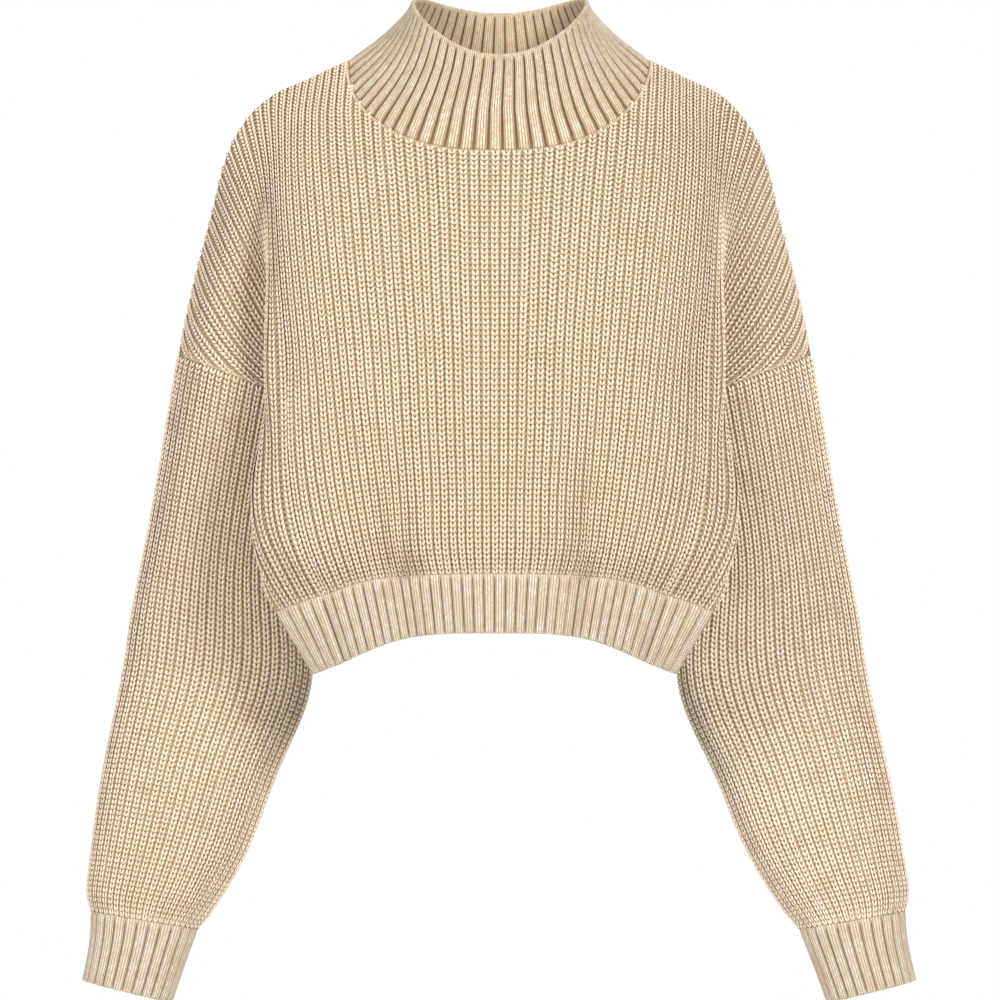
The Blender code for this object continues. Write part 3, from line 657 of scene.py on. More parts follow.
@dataclass(frozen=True)
class YarnFinish(ABC):
    """Soft matt yarn in a heather of cream and oatmeal."""

    name: str
    light: Colour
    middle: Colour
    # Colour of painted shade: at the foot of the stitches, in the grooves and in the holes under the
    # stitches.
    painted_shade: Colour
    rose: Colour = srgb(228, 204, 178)
    straw: Colour = srgb(226, 213, 183)
    tint_share: float = 0.6
    fleck_share: float = 0.4
    tint_span: float = 0.18
    patch_scale: float = 52.0
    heather_scale: float = 420.0
    heather_detail: float = 2.0
    fibre_scale: float = 2100.0
    fibre_detail: float = 3.0
    fibre_depth: float = 0.35 * MM
    fibre_strength: float = 0.35
    roughness: float = 0.88
    specular: float = 0.25
    sheen: float = 0.15
    sheen_roughness: float = 0.5

    def heather(self, bench: NodeBench, place: Socket, base: Socket) -> Socket:
        """Tints a colour with wide patches of rose and straw and with fine flecks."""
        patches = bench.noise(place, self.patch_scale, self.heather_detail)
        streaks = bench.noise(place, self.heather_scale, self.heather_detail)
        warm = bench.times(bench.span(patches, 0.5, 0.5 + self.tint_span), self.tint_share)
        pale = bench.times(bench.span(patches, 0.5, 0.5 - self.tint_span), self.tint_share)
        fleck = bench.times(bench.span(streaks, 0.5, 0.5 + self.tint_span), self.fleck_share)
        colour = bench.blend(pale, bench.blend(warm, base, self.rose), self.straw)
        return bench.blend(fleck, colour, self.middle)

    @abstractmethod
    def surface(self, bench: NodeBench, place: Socket) -> tuple[Socket, Socket | None]:
        """The finish's own part of the tree.

        Args:
            bench: The bench on the material's tree.
            place: The object coordinates.

        Returns:
            The colour, and the bump under the fibres' own if there is one.
        """

    def material(self) -> Material:
        """The whole material: the surface, with the yarn's fine fibres on it."""
        material = bpy.data.materials.new(self.name)
        material.use_nodes = True
        bench = NodeBench(material.node_tree)
        place = bench.add("ShaderNodeTexCoord").outputs["Object"]
        colour, relief = self.surface(bench, place)
        fibres = bench.noise(place, self.fibre_scale, self.fibre_detail)
        bump = bench.add("ShaderNodeBump")
        bench.feed(bump, Strength=self.fibre_strength, Distance=self.fibre_depth, Height=fibres)
        if relief is not None:
            bench.feed(bump, Normal=relief)
        bench.feed(material.node_tree.nodes["Principled BSDF"], Base_Color=colour, Normal=bump.outputs[0],
                   Roughness=self.roughness, Specular_IOR_Level=self.specular, Sheen_Weight=self.sheen,
                   Sheen_Roughness=self.sheen_roughness, Sheen_Tint=self.light)
        return material


@dataclass(frozen=True)
class StitchYarn(YarnFinish):
    """The yarn of stitches that are modelled one by one."""

    # How far up a stitch the painted shade reaches.
    foot: float = 0.8

    def surface(self, bench: NodeBench, place: Socket) -> tuple[Socket, Socket | None]:
        """Colour by each stitch's tone, with painted shade towards its foot."""
        base = bench.blend(bench.span(bench.carried("tone"), 0.0, 1.0), self.middle, self.light)
        base = self.heather(bench, place, base)
        # Painted shade: the low parts of each stitch, by its height attribute, take the shade colour.
        return bench.blend(bench.span(bench.carried("height"), 0.0, self.foot), self.painted_shade, base), None


@dataclass(frozen=True)
class GroundCloth(YarnFinish):
    """What shows between two ribs of stitches: a sunk column in painted shade, darkest in a dash at every
    course where the purl bumps lie.

    Distances across are in ribs from the middle of the groove, those along in courses.
    """

    sheen: float = 0.0
    light_share: float = 0.4
    dash_lift: float = 0.55
    dash_ends: tuple[float, float] = (0.38, 0.14)
    dash_depth: float = 0.65
    groove_sides: tuple[float, float] = (0.24, 0.08)
    hole_sides: tuple[float, float] = (0.32, 0.40)
    pale_courses: float = 1.3

    def surface(self, bench: NodeBench, place: Socket) -> tuple[Socket, Socket | None]:
        """Colour with painted shade in the groove and in the holes under the stitches, but not beside the
        seam.
        """
        rib, course = bench.stitch_numbers()
        apart = bench.from_middle(rib)
        along = bench.from_middle(bench.plus(course, bench.plus(apart, self.dash_lift)))
        dash = bench.partly(bench.span(along, *self.dash_ends), self.dash_depth)
        groove = bench.times(bench.span(apart, *self.groove_sides), dash)
        hole = bench.span(apart, *self.hole_sides)
        base = self.heather(bench, place, bench.blend(self.light_share, self.middle, self.light))
        started = bench.span(course, 0.0, self.pale_courses)
        # Painted shade of the groove and the holes, held back over the first courses by the seam.
        dark = bench.times(bench.math("MAXIMUM", groove, hole), started)
        return bench.blend(dark, base, self.painted_shade), None


@dataclass(frozen=True)
class FlatKnit(YarnFinish):
    """Cloth whose stitches are only bumps, on the rib and course numbers of its UV map.

    `columns` counts stitch columns to a rib, `contrast` is how strong the painted shade between the stitches
    is, and `sunk` the courses over which the grooves open into wide recesses of painted shade.
    """

    # Colour of the painted shade in the valleys between the stitches and in the recesses.
    between: Colour = srgb(150, 124, 95)
    columns: float = 1.0
    depth: float = 0.8 * MM
    contrast: float = 1.0
    sunk: float = 0.0
    slant: float = 1.5
    valley: tuple[float, float] = (0.5, 0.22)
    crease: tuple[float, float] = (0.0, 0.16)
    crease_depth: float = 0.35
    course_depth: float = 0.5
    lit_span: tuple[float, float] = (0.05, 0.65)
    foot: float = 0.9
    recess_width: float = 0.17
    recess_edge: float = 0.03
    recess_share: float = 0.5
    whole_share: float = 0.1

    def stitch(self, bench: NodeBench, across: Socket, slanted: Socket) -> Socket:
        """Height of the stitches, two slanted legs to each column."""
        along = bench.math("SINE", bench.times(bench.math("FRACT", slanted), math.pi))
        middle = bench.partly(bench.span(across, *self.crease), self.crease_depth)
        leg = bench.times(bench.span(across, *self.valley), middle)
        return bench.times(leg, bench.partly(along, self.course_depth))

    @staticmethod
    def single(bench: NodeBench, column: Socket, course: Socket) -> Socket:
        """A random share for each stitch."""
        number = bench.add("ShaderNodeCombineXYZ")
        bench.feed(number, X=bench.math("FLOOR", column), Y=bench.math("FLOOR", course))
        noise = bench.add("ShaderNodeTexWhiteNoise", noise_dimensions="2D")
        return bench.feed(noise, Vector=number.outputs[0]).outputs[0]

    def recessed(self, bench: NodeBench, base: Socket, rib: Socket, course: Socket) -> Socket:
        """Colour with the grooves opened into wide recesses of mid-brown painted shade towards the first
        course.
        """
        opened = bench.span(course, self.sunk, self.whole_share * self.sunk)
        edge = bench.plus(bench.times(opened, self.recess_width), self.recess_edge)
        inside = bench.span(bench.minus(bench.from_middle(rib), edge), self.recess_edge, 0.0)
        return bench.blend(bench.times(bench.times(inside, self.recess_share), opened), base, self.between)

    def surface(self, bench: NodeBench, place: Socket) -> tuple[Socket, Socket | None]:
        """Colour and bump of the small stitches, with painted shade between them and at their foot."""
        rib, course = bench.stitch_numbers()
        column = bench.plus(bench.times(rib, self.columns), 0.5)
        across = bench.from_middle(column)
        slanted = bench.minus(course, bench.times(across, self.slant))
        stitch = self.stitch(bench, across, slanted)
        base = bench.blend(self.single(bench, column, slanted), self.middle, self.light)
        base = self.heather(bench, place, base)
        if self.sunk > 0:
            base = self.recessed(bench, base, rib, course)
        # Painted shade: the between colour where the stitch bump is low, the shade colour at the foot by
        # height.
        between = bench.blend(self.contrast, base, self.between)
        lit = bench.blend(bench.span(stitch, *self.lit_span), between, base)
        colour = bench.blend(bench.span(bench.carried("height"), 0.0, self.foot), self.painted_shade, lit)
        relief = bench.add("ShaderNodeBump")
        return colour, bench.feed(relief, Strength=1.0, Distance=self.depth, Height=stitch).outputs[0]


MAIN_YARN = StitchYarn("main_yarn", srgb(241, 223, 201), srgb(232, 213, 189), srgb(223, 205, 178))
# Lighter copies of the main yarn, as painted light: the sleeves are painted brighter than the body, the
# wearer's left one most.
SLEEVE_PAINTED_LIGHT_YARNS = {
    Side.LEFT: replace(MAIN_YARN, name="left_yarn", light=srgb(251, 236, 217), middle=srgb(244, 228, 206)),
    Side.RIGHT: replace(MAIN_YARN, name="right_yarn", light=srgb(248, 231, 210), middle=srgb(238, 220, 196)),
}
LINK_YARN = replace(MAIN_YARN, name="link_yarn", light=srgb(238, 219, 193), middle=srgb(222, 200, 172))
MAIN_GROUND = GroundCloth("main_ground", srgb(221, 200, 170), srgb(205, 185, 155), srgb(129, 105, 76))
SLEEVE_GROUND = GroundCloth("sleeve_ground", srgb(236, 216, 187), srgb(224, 204, 175), srgb(146, 121, 90))
MAIN_INSIDE = FlatKnit("main_inside", MAIN_YARN.light, MAIN_YARN.middle, srgb(132, 106, 78),
                       depth=1.2 * MM, contrast=0.5)
BAND_CLOTH = FlatKnit("band_yarn", srgb(255, 253, 242), srgb(243, 220, 189), srgb(130, 98, 66),
                      between=srgb(170, 136, 98), columns=4.0, sheen=0.03)
COLLAR_CLOTH = replace(BAND_CLOTH, name="collar_yarn", light=srgb(255, 252, 238), middle=srgb(238, 211, 176),
                       between=srgb(162, 127, 88), columns=5.0, tint_share=0.5, sunk=30.0)
# A lighter, warmer copy of the collar's yarn, as painted light inside the collar, where the lamps leave
# shade.
COLLAR_INSIDE_PAINTED_LIGHT = replace(COLLAR_CLOTH, name="collar_inside", light=srgb(255, 248, 226),
                        middle=srgb(246, 216, 176), between=srgb(182, 143, 100), sunk=0.0)
FINISHES = (MAIN_YARN, MAIN_GROUND, SLEEVE_GROUND, *SLEEVE_PAINTED_LIGHT_YARNS.values(), MAIN_INSIDE, COLLAR_CLOTH,
            COLLAR_INSIDE_PAINTED_LIGHT, BAND_CLOTH, LINK_YARN)


# ------------------------------------------------------------------ cloth shells


@dataclass
class ClothShell:
    """Outside and inside of a cloth piece as matched grids, with the stitch numbers and the painted shading
    at each point.
    """

    outer: Array
    inner: Array
    ribs: Array
    courses: Array
    # Painted shading at each point: 1 is left lit, lower values are painted darker.
    heights: Array
    is_round: bool
    has_rounded_end: bool = False
    inner_painted_shading: Array | None = None

    def rim(self) -> list[Array]:
        """Rows of points round the free edge, from the outside to the inside."""
        if not self.has_rounded_end:
            return []
        middle = (self.outer[-1] + self.inner[-1]) / 2
        reach = (self.outer[-1] - self.inner[-1]) / 2
        behind = (self.outer[-2] + self.inner[-2]) / 2
        out = unit(middle - behind) * np.linalg.norm(reach, axis=-1, keepdims=True)
        angles = (math.pi / 4, math.pi / 2, 3 * math.pi / 4)
        return [middle + reach * math.cos(a) + out * math.sin(a) for a in angles]

    def rows(self) -> tuple[Array, Array, Array, Array]:
        """The grid of the whole wall: down the outside, round the far edge and back up the inside.

        Returns:
            Row by row the points, the stitch numbers, the painted shading and whether it is on the inside.
        """
        count, rim = len(self.outer), self.rim()
        points = np.array([*self.outer, *rim, *self.inner[::-1]])
        rows = [*range(count), *[count - 1] * len(rim), *reversed(range(count))]
        numbers = np.stack([self.ribs, self.courses], axis=-1)[rows]
        hidden = self.heights if self.inner_painted_shading is None else self.inner_painted_shading
        heights = np.concatenate([self.heights[rows[:-count]], hidden[::-1]])
        return points, numbers, heights, np.arange(len(rows)) >= len(rows) - count

    def faces(self, numbers: Array, is_inner: Array) -> tuple[list[list[int]], Array, Array]:
        """The quads between the rows, and the faces that close a flat piece along its sides.

        Args:
            numbers: The stitch numbers at every point of the grid.
            is_inner: Whether each row is on the inside.

        Returns:
            The faces, the stitch numbers at their corners and the material slot of each.
        """
        ids = np.arange(numbers[..., 0].size).reshape(numbers.shape[:2])
        if self.is_round:
            ids = np.concatenate([ids, ids[:, :1]], axis=1)
            turn = numbers[:, :1].copy()
            turn[..., 0] += np.ceil(numbers[:, -1:, 0] - turn[..., 0])
            numbers = np.concatenate([numbers, turn], axis=1)
        ids = np.concatenate([ids, ids[:1]])
        numbers = np.concatenate([numbers, numbers[:1]])
        faces = self.corners(ids).reshape(-1, 4).tolist()
        uv = self.corners(numbers).reshape(-1, 2)
        slots = np.repeat(is_inner | np.roll(is_inner, -1), ids.shape[1] - 1).astype(np.int32)
        if not self.is_round:
            sides = self.side_rings(ids, len(self.outer))
            faces += [[int(ids[place]) for place in ring] for ring in sides]
            uv = np.concatenate([uv, [numbers[place] for ring in sides for place in ring]])
            slots = np.append(slots, np.zeros(len(sides), np.int32))
        return faces, uv, slots

    def build(self, name: str, outside: Material, inside: Material) -> Object:
        """Makes one closed mesh.

        Args:
            name: Name of the object.
            outside: Material of the outer face.
            inside: Material of the inner face.

        Returns:
            The piece, linked to the scene.
        """
        points, numbers, heights, is_inner = self.rows()
        faces, uv, slots = self.faces(numbers, is_inner)
        mesh = bpy.data.meshes.new(name)
        mesh.from_pydata(swayed(points.reshape(-1, 3)).tolist(), [], faces)
        # The height attribute is painted shading for the materials.
        mesh.attributes.new("height", "FLOAT", "POINT").data.foreach_set("value", heights.ravel())
        mesh.uv_layers.new(name="stitches").data.foreach_set("uv", uv.ravel())
        mesh.polygons.foreach_set("material_index", slots)
        for material in (outside, inside):
            mesh.materials.append(material)
        mesh.shade_smooth()
        mesh.update()
        if signed_volume(mesh) < 0:
            mesh.flip_normals()
        return linked(name, mesh)

    @staticmethod
    def corners(grid: Array) -> Array:
        """The four corners of every cell of a grid."""
        around = (grid[:-1, :-1], grid[:-1, 1:], grid[1:, 1:], grid[1:, :-1])
        return np.stack(around, axis=2)

    @staticmethod
    def side_rings(ids: Array, count: int) -> list[list[tuple[int, int]]]:
        """Grid places of the faces that close a flat piece along its two sides."""
        last = len(ids) - 2
        rings = []
        for end in (0, -1):
            for k in range(count - 1):
                ring = [(k, end), (k + 1, end), (last - k - 1, end), (last - k, end)]
                rings.append(ring if end == 0 else ring[::-1])
        if last + 1 > 2 * count:
            for end in (0, -1):
                ring = [(k, end) for k in range(count - 1, last - count + 2)]
                rings.append(ring if end == 0 else ring[::-1])
        return rings


def signed_volume(mesh: Mesh) -> float:
    """Volume inside a closed mesh, negative when its faces look inwards."""
    mesh.calc_loop_triangles()
    corners = np.empty(len(mesh.loop_triangles) * 3, np.int32)
    mesh.loop_triangles.foreach_get("vertices", corners)
    places = np.empty(len(mesh.vertices) * 3)
    mesh.vertices.foreach_get("co", places)
    triangles = places.reshape(-1, 3)[corners.reshape(-1, 3)]
    return float(np.sum(triangles[:, 0] * np.cross(triangles[:, 1], triangles[:, 2])) / 6)


def linked(name: str, data: bpy.types.ID) -> Object:
    """A mesh, lamp or camera as an object of the scene."""
    thing = bpy.data.objects.new(name, data)
    bpy.context.scene.collection.objects.link(thing)
    return thing


# ------------------------------------------------------------------ stitches


# A rib's stitches leave SEAM_COURSES of bare cloth, drift in shade every DRIFT_COURSES and start low.
SEAM_COURSES = 0.2
RIB_SEED = 7
DRIFT_COURSES = 9
MEAN_SHADE = 0.55
RIB_SHADE = 0.08
DRIFT_SHADE = 0.1
TAPER_COURSES = (0, 1, 3)
TAPER_SHARES = (0.6, 0.85, 1.0)


@dataclass
class StitchCloud:
    """Where stitches go: their middle, the way out of the cloth, the way up and their size."""

    places: Array
    out: Array
    up: Array
    sizes: Array
    shades: Array

    def mesh(self, name: str) -> Mesh:
        """The cloud as loose points that carry the directions and sizes."""
        mesh = bpy.data.meshes.new(name)
        mesh.vertices.add(len(self.places))
        mesh.vertices.foreach_set("co", swayed(self.places).ravel())
        for key, values in (("out", self.out), ("up", self.up), ("size", self.sizes)):
            layer = mesh.attributes.new(key, "FLOAT_VECTOR", "POINT")
            layer.data.foreach_set("vector", values.ravel())
        mesh.attributes.new("shade", "FLOAT", "POINT").data.foreach_set("value", self.shades)
        return mesh

    @classmethod
    def joined(cls, clouds: Sequence[StitchCloud]) -> StitchCloud:
        """Several clouds as one."""
        parts = [[c.places, c.out, c.up, c.sizes, c.shades] for c in clouds]
        return cls(*(np.concatenate(part) for part in zip(*parts)))


@dataclass(frozen=True)
class StitchShape:
    """One knit stitch, a V of two plump legs, in shares of a rib's width and a course's height."""

    name: str = "stitch"
    path: tuple[Point, ...] = (
        (0.010, -0.66, 0.22),
        (0.155, -0.30, 0.46),
        (0.250, 0.20, 0.50),
        (0.345, 0.74, 0.26),
    )
    half_widths: tuple[float, float] = (0.185, 0.170)
    thickness: float = 0.54
    aspect: float = 0.6
    # Painted shading at the tips and the sides of the legs; the crown is 1, left fully lit.
    tip_painted_shading: float = 0.7
    side_painted_shading: float = 0.8

    def leg(self, hand: int) -> tuple[list[Point], list[tuple[int, ...]], list[float]]:
        """Points, faces and painted shading of one leg, a three-sided spindle.

        Args:
            hand: 1 for the right leg, -1 for the left.

        Returns:
            The points, the faces and how lit each point is painted, from 0 in painted shade to 1 on the
            crown.
        """
        path = [np.array(point) for point in self.path]
        points, heights = [tuple(path[0])], [self.tip_painted_shading]
        for k, half in enumerate(self.half_widths, start=1):
            along = path[k + 1] - path[k - 1]
            real = np.array([along[0], along[1] * self.aspect])
            side = np.array([real[1], -real[0]]) / np.linalg.norm(real)
            side = np.array([side[0] * half, side[1] * half / self.aspect, 0.0])
            crown = np.array([0.0, 0.0, self.thickness])
            points += [tuple(path[k] - side), tuple(path[k] + crown), tuple(path[k] + side)]
            heights += [self.side_painted_shading, 1.0, self.side_painted_shading]
        points.append(tuple(path[3]))
        heights.append(self.tip_painted_shading)
        faces = [(0, 2, 1), (0, 3, 2), (0, 1, 3)]
        for a, b in ((1, 2), (2, 3), (3, 1)):
            faces.append((a, b, b + 3, a + 3))
        faces += [(4, 5, 7), (5, 6, 7), (6, 4, 7)]
        if hand < 0:
            points = [(-x, y, z) for x, y, z in points]
            faces = [face[::-1] for face in faces]
        return points, faces, heights

    def build(self) -> Object:
        """The stitch as a source object for the instances."""
        points, faces, heights = [], [], []
        for hand in (1, -1):
            more, more_faces, more_heights = self.leg(hand)
            faces += [tuple(i + len(points) for i in face) for face in more_faces]
            points += more
            heights += more_heights
        mesh = bpy.data.meshes.new(self.name)
        mesh.from_pydata(points, [], faces)
        # The height attribute is painted shading: the yarn is painted darker where it is low.
        mesh.attributes.new("height", "FLOAT", "POINT").data.foreach_set("value", heights)
        mesh.shade_smooth()
        if signed_volume(mesh) < 0:
            mesh.flip_normals()
        return linked(self.name, mesh)


def stitch_places(length: float, pitch: float) -> tuple[Array, float]:
    """Places of a whole number of stitches that fill a rib from seam to seam.

    Args:
        length: The rib's length.
        pitch: Height of a course, met as nearly as it can be.

    Returns:
        How far along the rib each stitch sits, and the height that a course takes.
    """
    count = max(1, round(length / pitch))
    height = length / (count + SEAM_COURSES)
    return (np.arange(count) + 0.5) * height, height


def stitch_courses(points: Array, pitch: float) -> Array:
    """Course number at each point of a shell, so that it runs with the stitches set on it.

    Args:
        points: Grid of points, a row for each height and a column for each rib.
        pitch: Height of a course, met as nearly as it can be.

    Returns:
        The grid of course numbers, 0 in the first row.
    """
    lengths = running_length(points)
    counts = np.maximum(1, np.round(lengths[-1] / pitch))
    return lengths * ((counts + SEAM_COURSES) / lengths[-1])[None]


def stitch_column(place: Array, out: Array, up: Array, width: Array, pitch: float,
                  height: float, number: int, wander: float = 0.2 * MM) -> StitchCloud:
    """Stitches of one rib, with a shade and a course that drift along it.

    Args:
        place: Middle of each stitch.
        out: Directions out of the cloth.
        up: Directions along the rib.
        width: Width of the rib at each stitch.
        pitch: Height of a course.
        height: How far a stitch stands out.
        number: Names the rib, for its shade.
        wander: How far the rib strays sideways.

    Returns:
        The cloud.
    """
    count = len(place)
    random = np.random.default_rng(abs(number) + RIB_SEED)
    knots = np.arange(0, count + DRIFT_COURSES, DRIFT_COURSES)
    drift, stray = (np.interp(np.arange(count), knots, row) for row in random.normal(0, 1, (2, len(knots))))
    shades = MEAN_SHADE + RIB_SHADE * random.normal() + DRIFT_SHADE * drift
    place = place + unit(np.cross(up, out)) * (wander * stray)[:, None]
    sizes = np.stack([width, np.full(count, pitch), height * tapered(count)], axis=-1)
    return StitchCloud(place, out, up, sizes, shades)


def tapered(count: int) -> Array:
    """Shares of the full height for the stitches of a rib, lower where it runs into a band."""
    return np.interp(np.arange(count), TAPER_COURSES, TAPER_SHARES)


class StitchTree:
    """Geometry Nodes that set one stitch on every point of a cloud."""

    INPUTS = (
        ("Stitch", "NodeSocketObject"),
        ("Yarn", "NodeSocketMaterial"),
        ("Size Jitter", "NodeSocketFloat"),
        ("Turn Jitter", "NodeSocketFloat"),
        ("Seed", "NodeSocketInt"),
    )
    SWELL_SEED = 7
    TONE_SEED = 13
    TONE_JITTER = 0.35

    def __init__(self) -> None:
        """Builds the tree once."""
        self.tree = bpy.data.node_groups.new("stitches_on_points", "GeometryNodeTree")
        face = self.tree.interface
        face.new_socket("Geometry", in_out="INPUT", socket_type="NodeSocketGeometry")
        for name, kind in self.INPUTS:
            face.new_socket(name, in_out="INPUT", socket_type=kind)
        face.new_socket("Geometry", in_out="OUTPUT", socket_type="NodeSocketGeometry")
        self.wire()

    def wire(self) -> None:
        """Lays the nodes from the cloud to the joined stitches."""
        bench = NodeBench(self.tree)
        given = bench.add("NodeGroupInput").outputs
        source = bench.add("GeometryNodeObjectInfo", transform_space="ORIGINAL")
        bench.feed(source, Object=given["Stitch"])
        placed = bench.add("GeometryNodeInstanceOnPoints")
        bench.feed(placed, Points=given["Geometry"], Instance=source.outputs["Geometry"],
                   Rotation=self.turned(bench, given["Seed"], given["Turn Jitter"]),
                   Scale=self.scaled(bench, given["Seed"], given["Size Jitter"]))
        toned = bench.add("GeometryNodeStoreNamedAttribute", data_type="FLOAT", domain="INSTANCE")
        single = bench.times(self.random(bench, given["Seed"], self.TONE_SEED), self.TONE_JITTER)
        shade = bench.plus(single, self.attribute(bench, "shade", "FLOAT"))
        bench.feed(toned, Geometry=placed.outputs[0], Name="tone", Value=shade)
        joined = bench.feed(bench.add("GeometryNodeRealizeInstances"), Geometry=toned.outputs[0])
        dyed = bench.add("GeometryNodeSetMaterial")
        bench.feed(dyed, Geometry=joined.outputs[0], Material=given["Yarn"])
        bench.feed(bench.add("NodeGroupOutput"), Geometry=dyed.outputs[0])

    def turned(self, bench: NodeBench, seed: Socket, jitter: Socket) -> Socket:
        """Each stitch's rotation: its Z out of the cloth, its Y up the rib, and a little jitter."""
        facing = bench.add("FunctionNodeAlignRotationToVector", axis="Z")
        bench.feed(facing, Vector=self.attribute(bench, "out"))
        upright = bench.add("FunctionNodeAlignRotationToVector", axis="Y", pivot_axis="Z")
        bench.feed(upright, Rotation=facing.outputs[0], Vector=self.attribute(bench, "up"))
        random = bench.add("FunctionNodeRandomValue", data_type="FLOAT_VECTOR")
        bench.feed(random, Min=(-1.0, -1.0, -1.0), Max=(1.0, 1.0, 1.0), Seed=seed)
        spread = bench.add("ShaderNodeVectorMath", operation="SCALE")
        bench.feed(spread, Vector=random.outputs[0], Scale=jitter)
        angles = bench.feed(bench.add("FunctionNodeEulerToRotation"), Euler=spread.outputs[0])
        turned = bench.add("FunctionNodeRotateRotation", rotation_space="LOCAL")
        return bench.feed(turned, Rotation=upright.outputs[0], Rotate_By=angles.outputs[0]).outputs[0]

    def scaled(self, bench: NodeBench, seed: Socket, jitter: Socket) -> Socket:
        """Each stitch's size, with a little jitter."""
        swell = bench.plus(1.0, bench.times(self.random(bench, seed, self.SWELL_SEED), jitter))
        scaled = bench.add("ShaderNodeVectorMath", operation="SCALE")
        return bench.feed(scaled, Vector=self.attribute(bench, "size"), Scale=swell).outputs[0]

    @staticmethod
    def attribute(bench: NodeBench, name: str, kind: str = "FLOAT_VECTOR") -> Socket:
        """A direction, size or shade that the points carry."""
        node = bench.add("GeometryNodeInputNamedAttribute", data_type=kind)
        return bench.feed(node, Name=name).outputs[0]

    @staticmethod
    def random(bench: NodeBench, seed: Socket, offset: int) -> Socket:
        """A number from -1 to 1 for each stitch."""
        node = bench.add("FunctionNodeRandomValue", data_type="FLOAT")
        bench.feed(node, Min=-1.0, Max=1.0, Seed=bench.plus(seed, offset))
        return next(s for s in node.outputs if s.enabled)

    def grow(self, name: str, cloud: StitchCloud, stitch: Object, yarn: Material,
             seed: int, size_jitter: float = 0.05, turn_jitter: float = 0.04) -> Object:
        """Sets the stitches of one piece and joins them into a plain mesh.

        Args:
            name: Name of the new piece.
            cloud: Where the stitches go.
            stitch: The stitch to repeat.
            yarn: Its material.
            seed: Start of the random numbers.
            size_jitter: How much the stitches differ in size.
            turn_jitter: How much they are turned, in radians.

        Returns:
            The piece.
        """
        points = linked(f"{name}_points", cloud.mesh(f"{name}_points"))
        modifier = points.modifiers.new("stitches", "NODES")
        modifier.node_group = self.tree
        values = {"Stitch": stitch, "Yarn": yarn, "Size Jitter": size_jitter, "Turn Jitter": turn_jitter,
                  "Seed": seed}
        for item in self.tree.interface.items_tree:
            if item.item_type == "SOCKET" and item.in_out == "INPUT" and item.name in values:
                modifier[item.identifier] = values[item.name]
        graph = bpy.context.evaluated_depsgraph_get()
        mesh = bpy.data.meshes.new_from_object(points.evaluated_get(graph), preserve_all_data_layers=True,
                                               depsgraph=graph)
        bpy.data.objects.remove(points, do_unlink=True)
        mesh.name = name
        mesh.shade_smooth()
        return linked(name, mesh)


# ------------------------------------------------------------------ sub-assemblies


class Workshop:
    """What all pieces share: the forms, the yarns, the stitch and the tree that sets it."""

    def __init__(self) -> None:
        """Makes the forms, the materials, the stitch and the tree."""
        self.panels = {
            Facing.FRONT: PanelForm(Facing.FRONT, FRONT_COURSES, FRONT_TROUGHS, FRONT_NECK_DROP,
                                    FRONT_HEM_EDGE),
            Facing.BACK: PanelForm(Facing.BACK, BACK_COURSES, BACK_TROUGHS, BACK_NECK_DROP, BACK_HEM_EDGE),
        }
        self.neck = NeckForm(self.panels[Facing.FRONT], self.panels[Facing.BACK])
        self.yarns = {finish: finish.material() for finish in FINISHES}
        self.stitch = StitchShape().build()
        self.tree = StitchTree()

    def grow(self, name: str, cloud: StitchCloud, yarn: YarnFinish, seed: int) -> Object:
        """Sets stitches of a yarn on a cloud."""
        return self.tree.grow(name, cloud, self.stitch, self.yarns[yarn], seed)

    def clear(self) -> None:
        """Removes the source stitch, which isn't part of the garment."""
        bpy.data.objects.remove(self.stitch, do_unlink=True)


def declare(piece: Object, node: str | None = None) -> Object:
    """Ties a finished piece to the frame, and hides the node that it stands for."""
    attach(piece, BODY)
    if node is not None:
        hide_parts(node)
    LOG.info("%s: %d faces", piece.name, len(piece.data.polygons))
    return piece


def rib_wave(ribs: Array) -> Array:
    """1 along the middle of a rib, 0 along the middle of a groove."""
    return 0.5 + 0.5 * np.cos(2 * math.pi * ribs)


class ClothPiece(ABC):
    """A piece of cloth that stands for one node of the frame and bears its name."""

    shop: Workshop
    name: str
    flat: tuple[float, float]
    area: float

    @abstractmethod
    def shell(self) -> ClothShell:
        """The cloth as a closed wall."""

    def cloth(self, slot: str, outside: YarnFinish, inside: YarnFinish) -> Object:
        """Builds the cloth, ties it to the frame and hides its node."""
        yarns = self.shop.yarns
        cloth = self.shell().build(self.name + "_cloth", yarns[outside], yarns[inside])
        return declare(cloth, self.name)


class RibKnit(ClothPiece):
    """A piece of the main knit, whose stitches are set one by one on its cloth."""

    wall = 3.0 * MM
    relief = 0.5 * MM
    stitch_lift = 0.1 * MM
    stitch_height = 1.45 * MM

    @abstractmethod
    def cloud(self) -> StitchCloud:
        """A stitch for each rib and course between the seams."""

    def dress(self, ground: YarnFinish, yarn: YarnFinish, seed: int, rests_on: list[str]) -> None:
        """Makes the cloth and the stitches on it.

        Args:
            ground: The cloth between the ribs.
            yarn: The stitches' yarn.
            seed: Start of their random numbers.
            rests_on: Not used.
        """
        cloth = self.cloth("main_knit", ground, MAIN_INSIDE)
        stitches = declare(self.shop.grow(self.name + "_stitches", self.cloud(), yarn, seed))


class Band(ClothPiece):
    """A ribbed band, one corrugated wall."""

    course_height = 1.7 * MM

    def dress(self, outside: YarnFinish, inside: YarnFinish, rests_on: list[str]) -> None:
        """Makes the band."""
        cloth = self.cloth("rib_band", outside, inside)


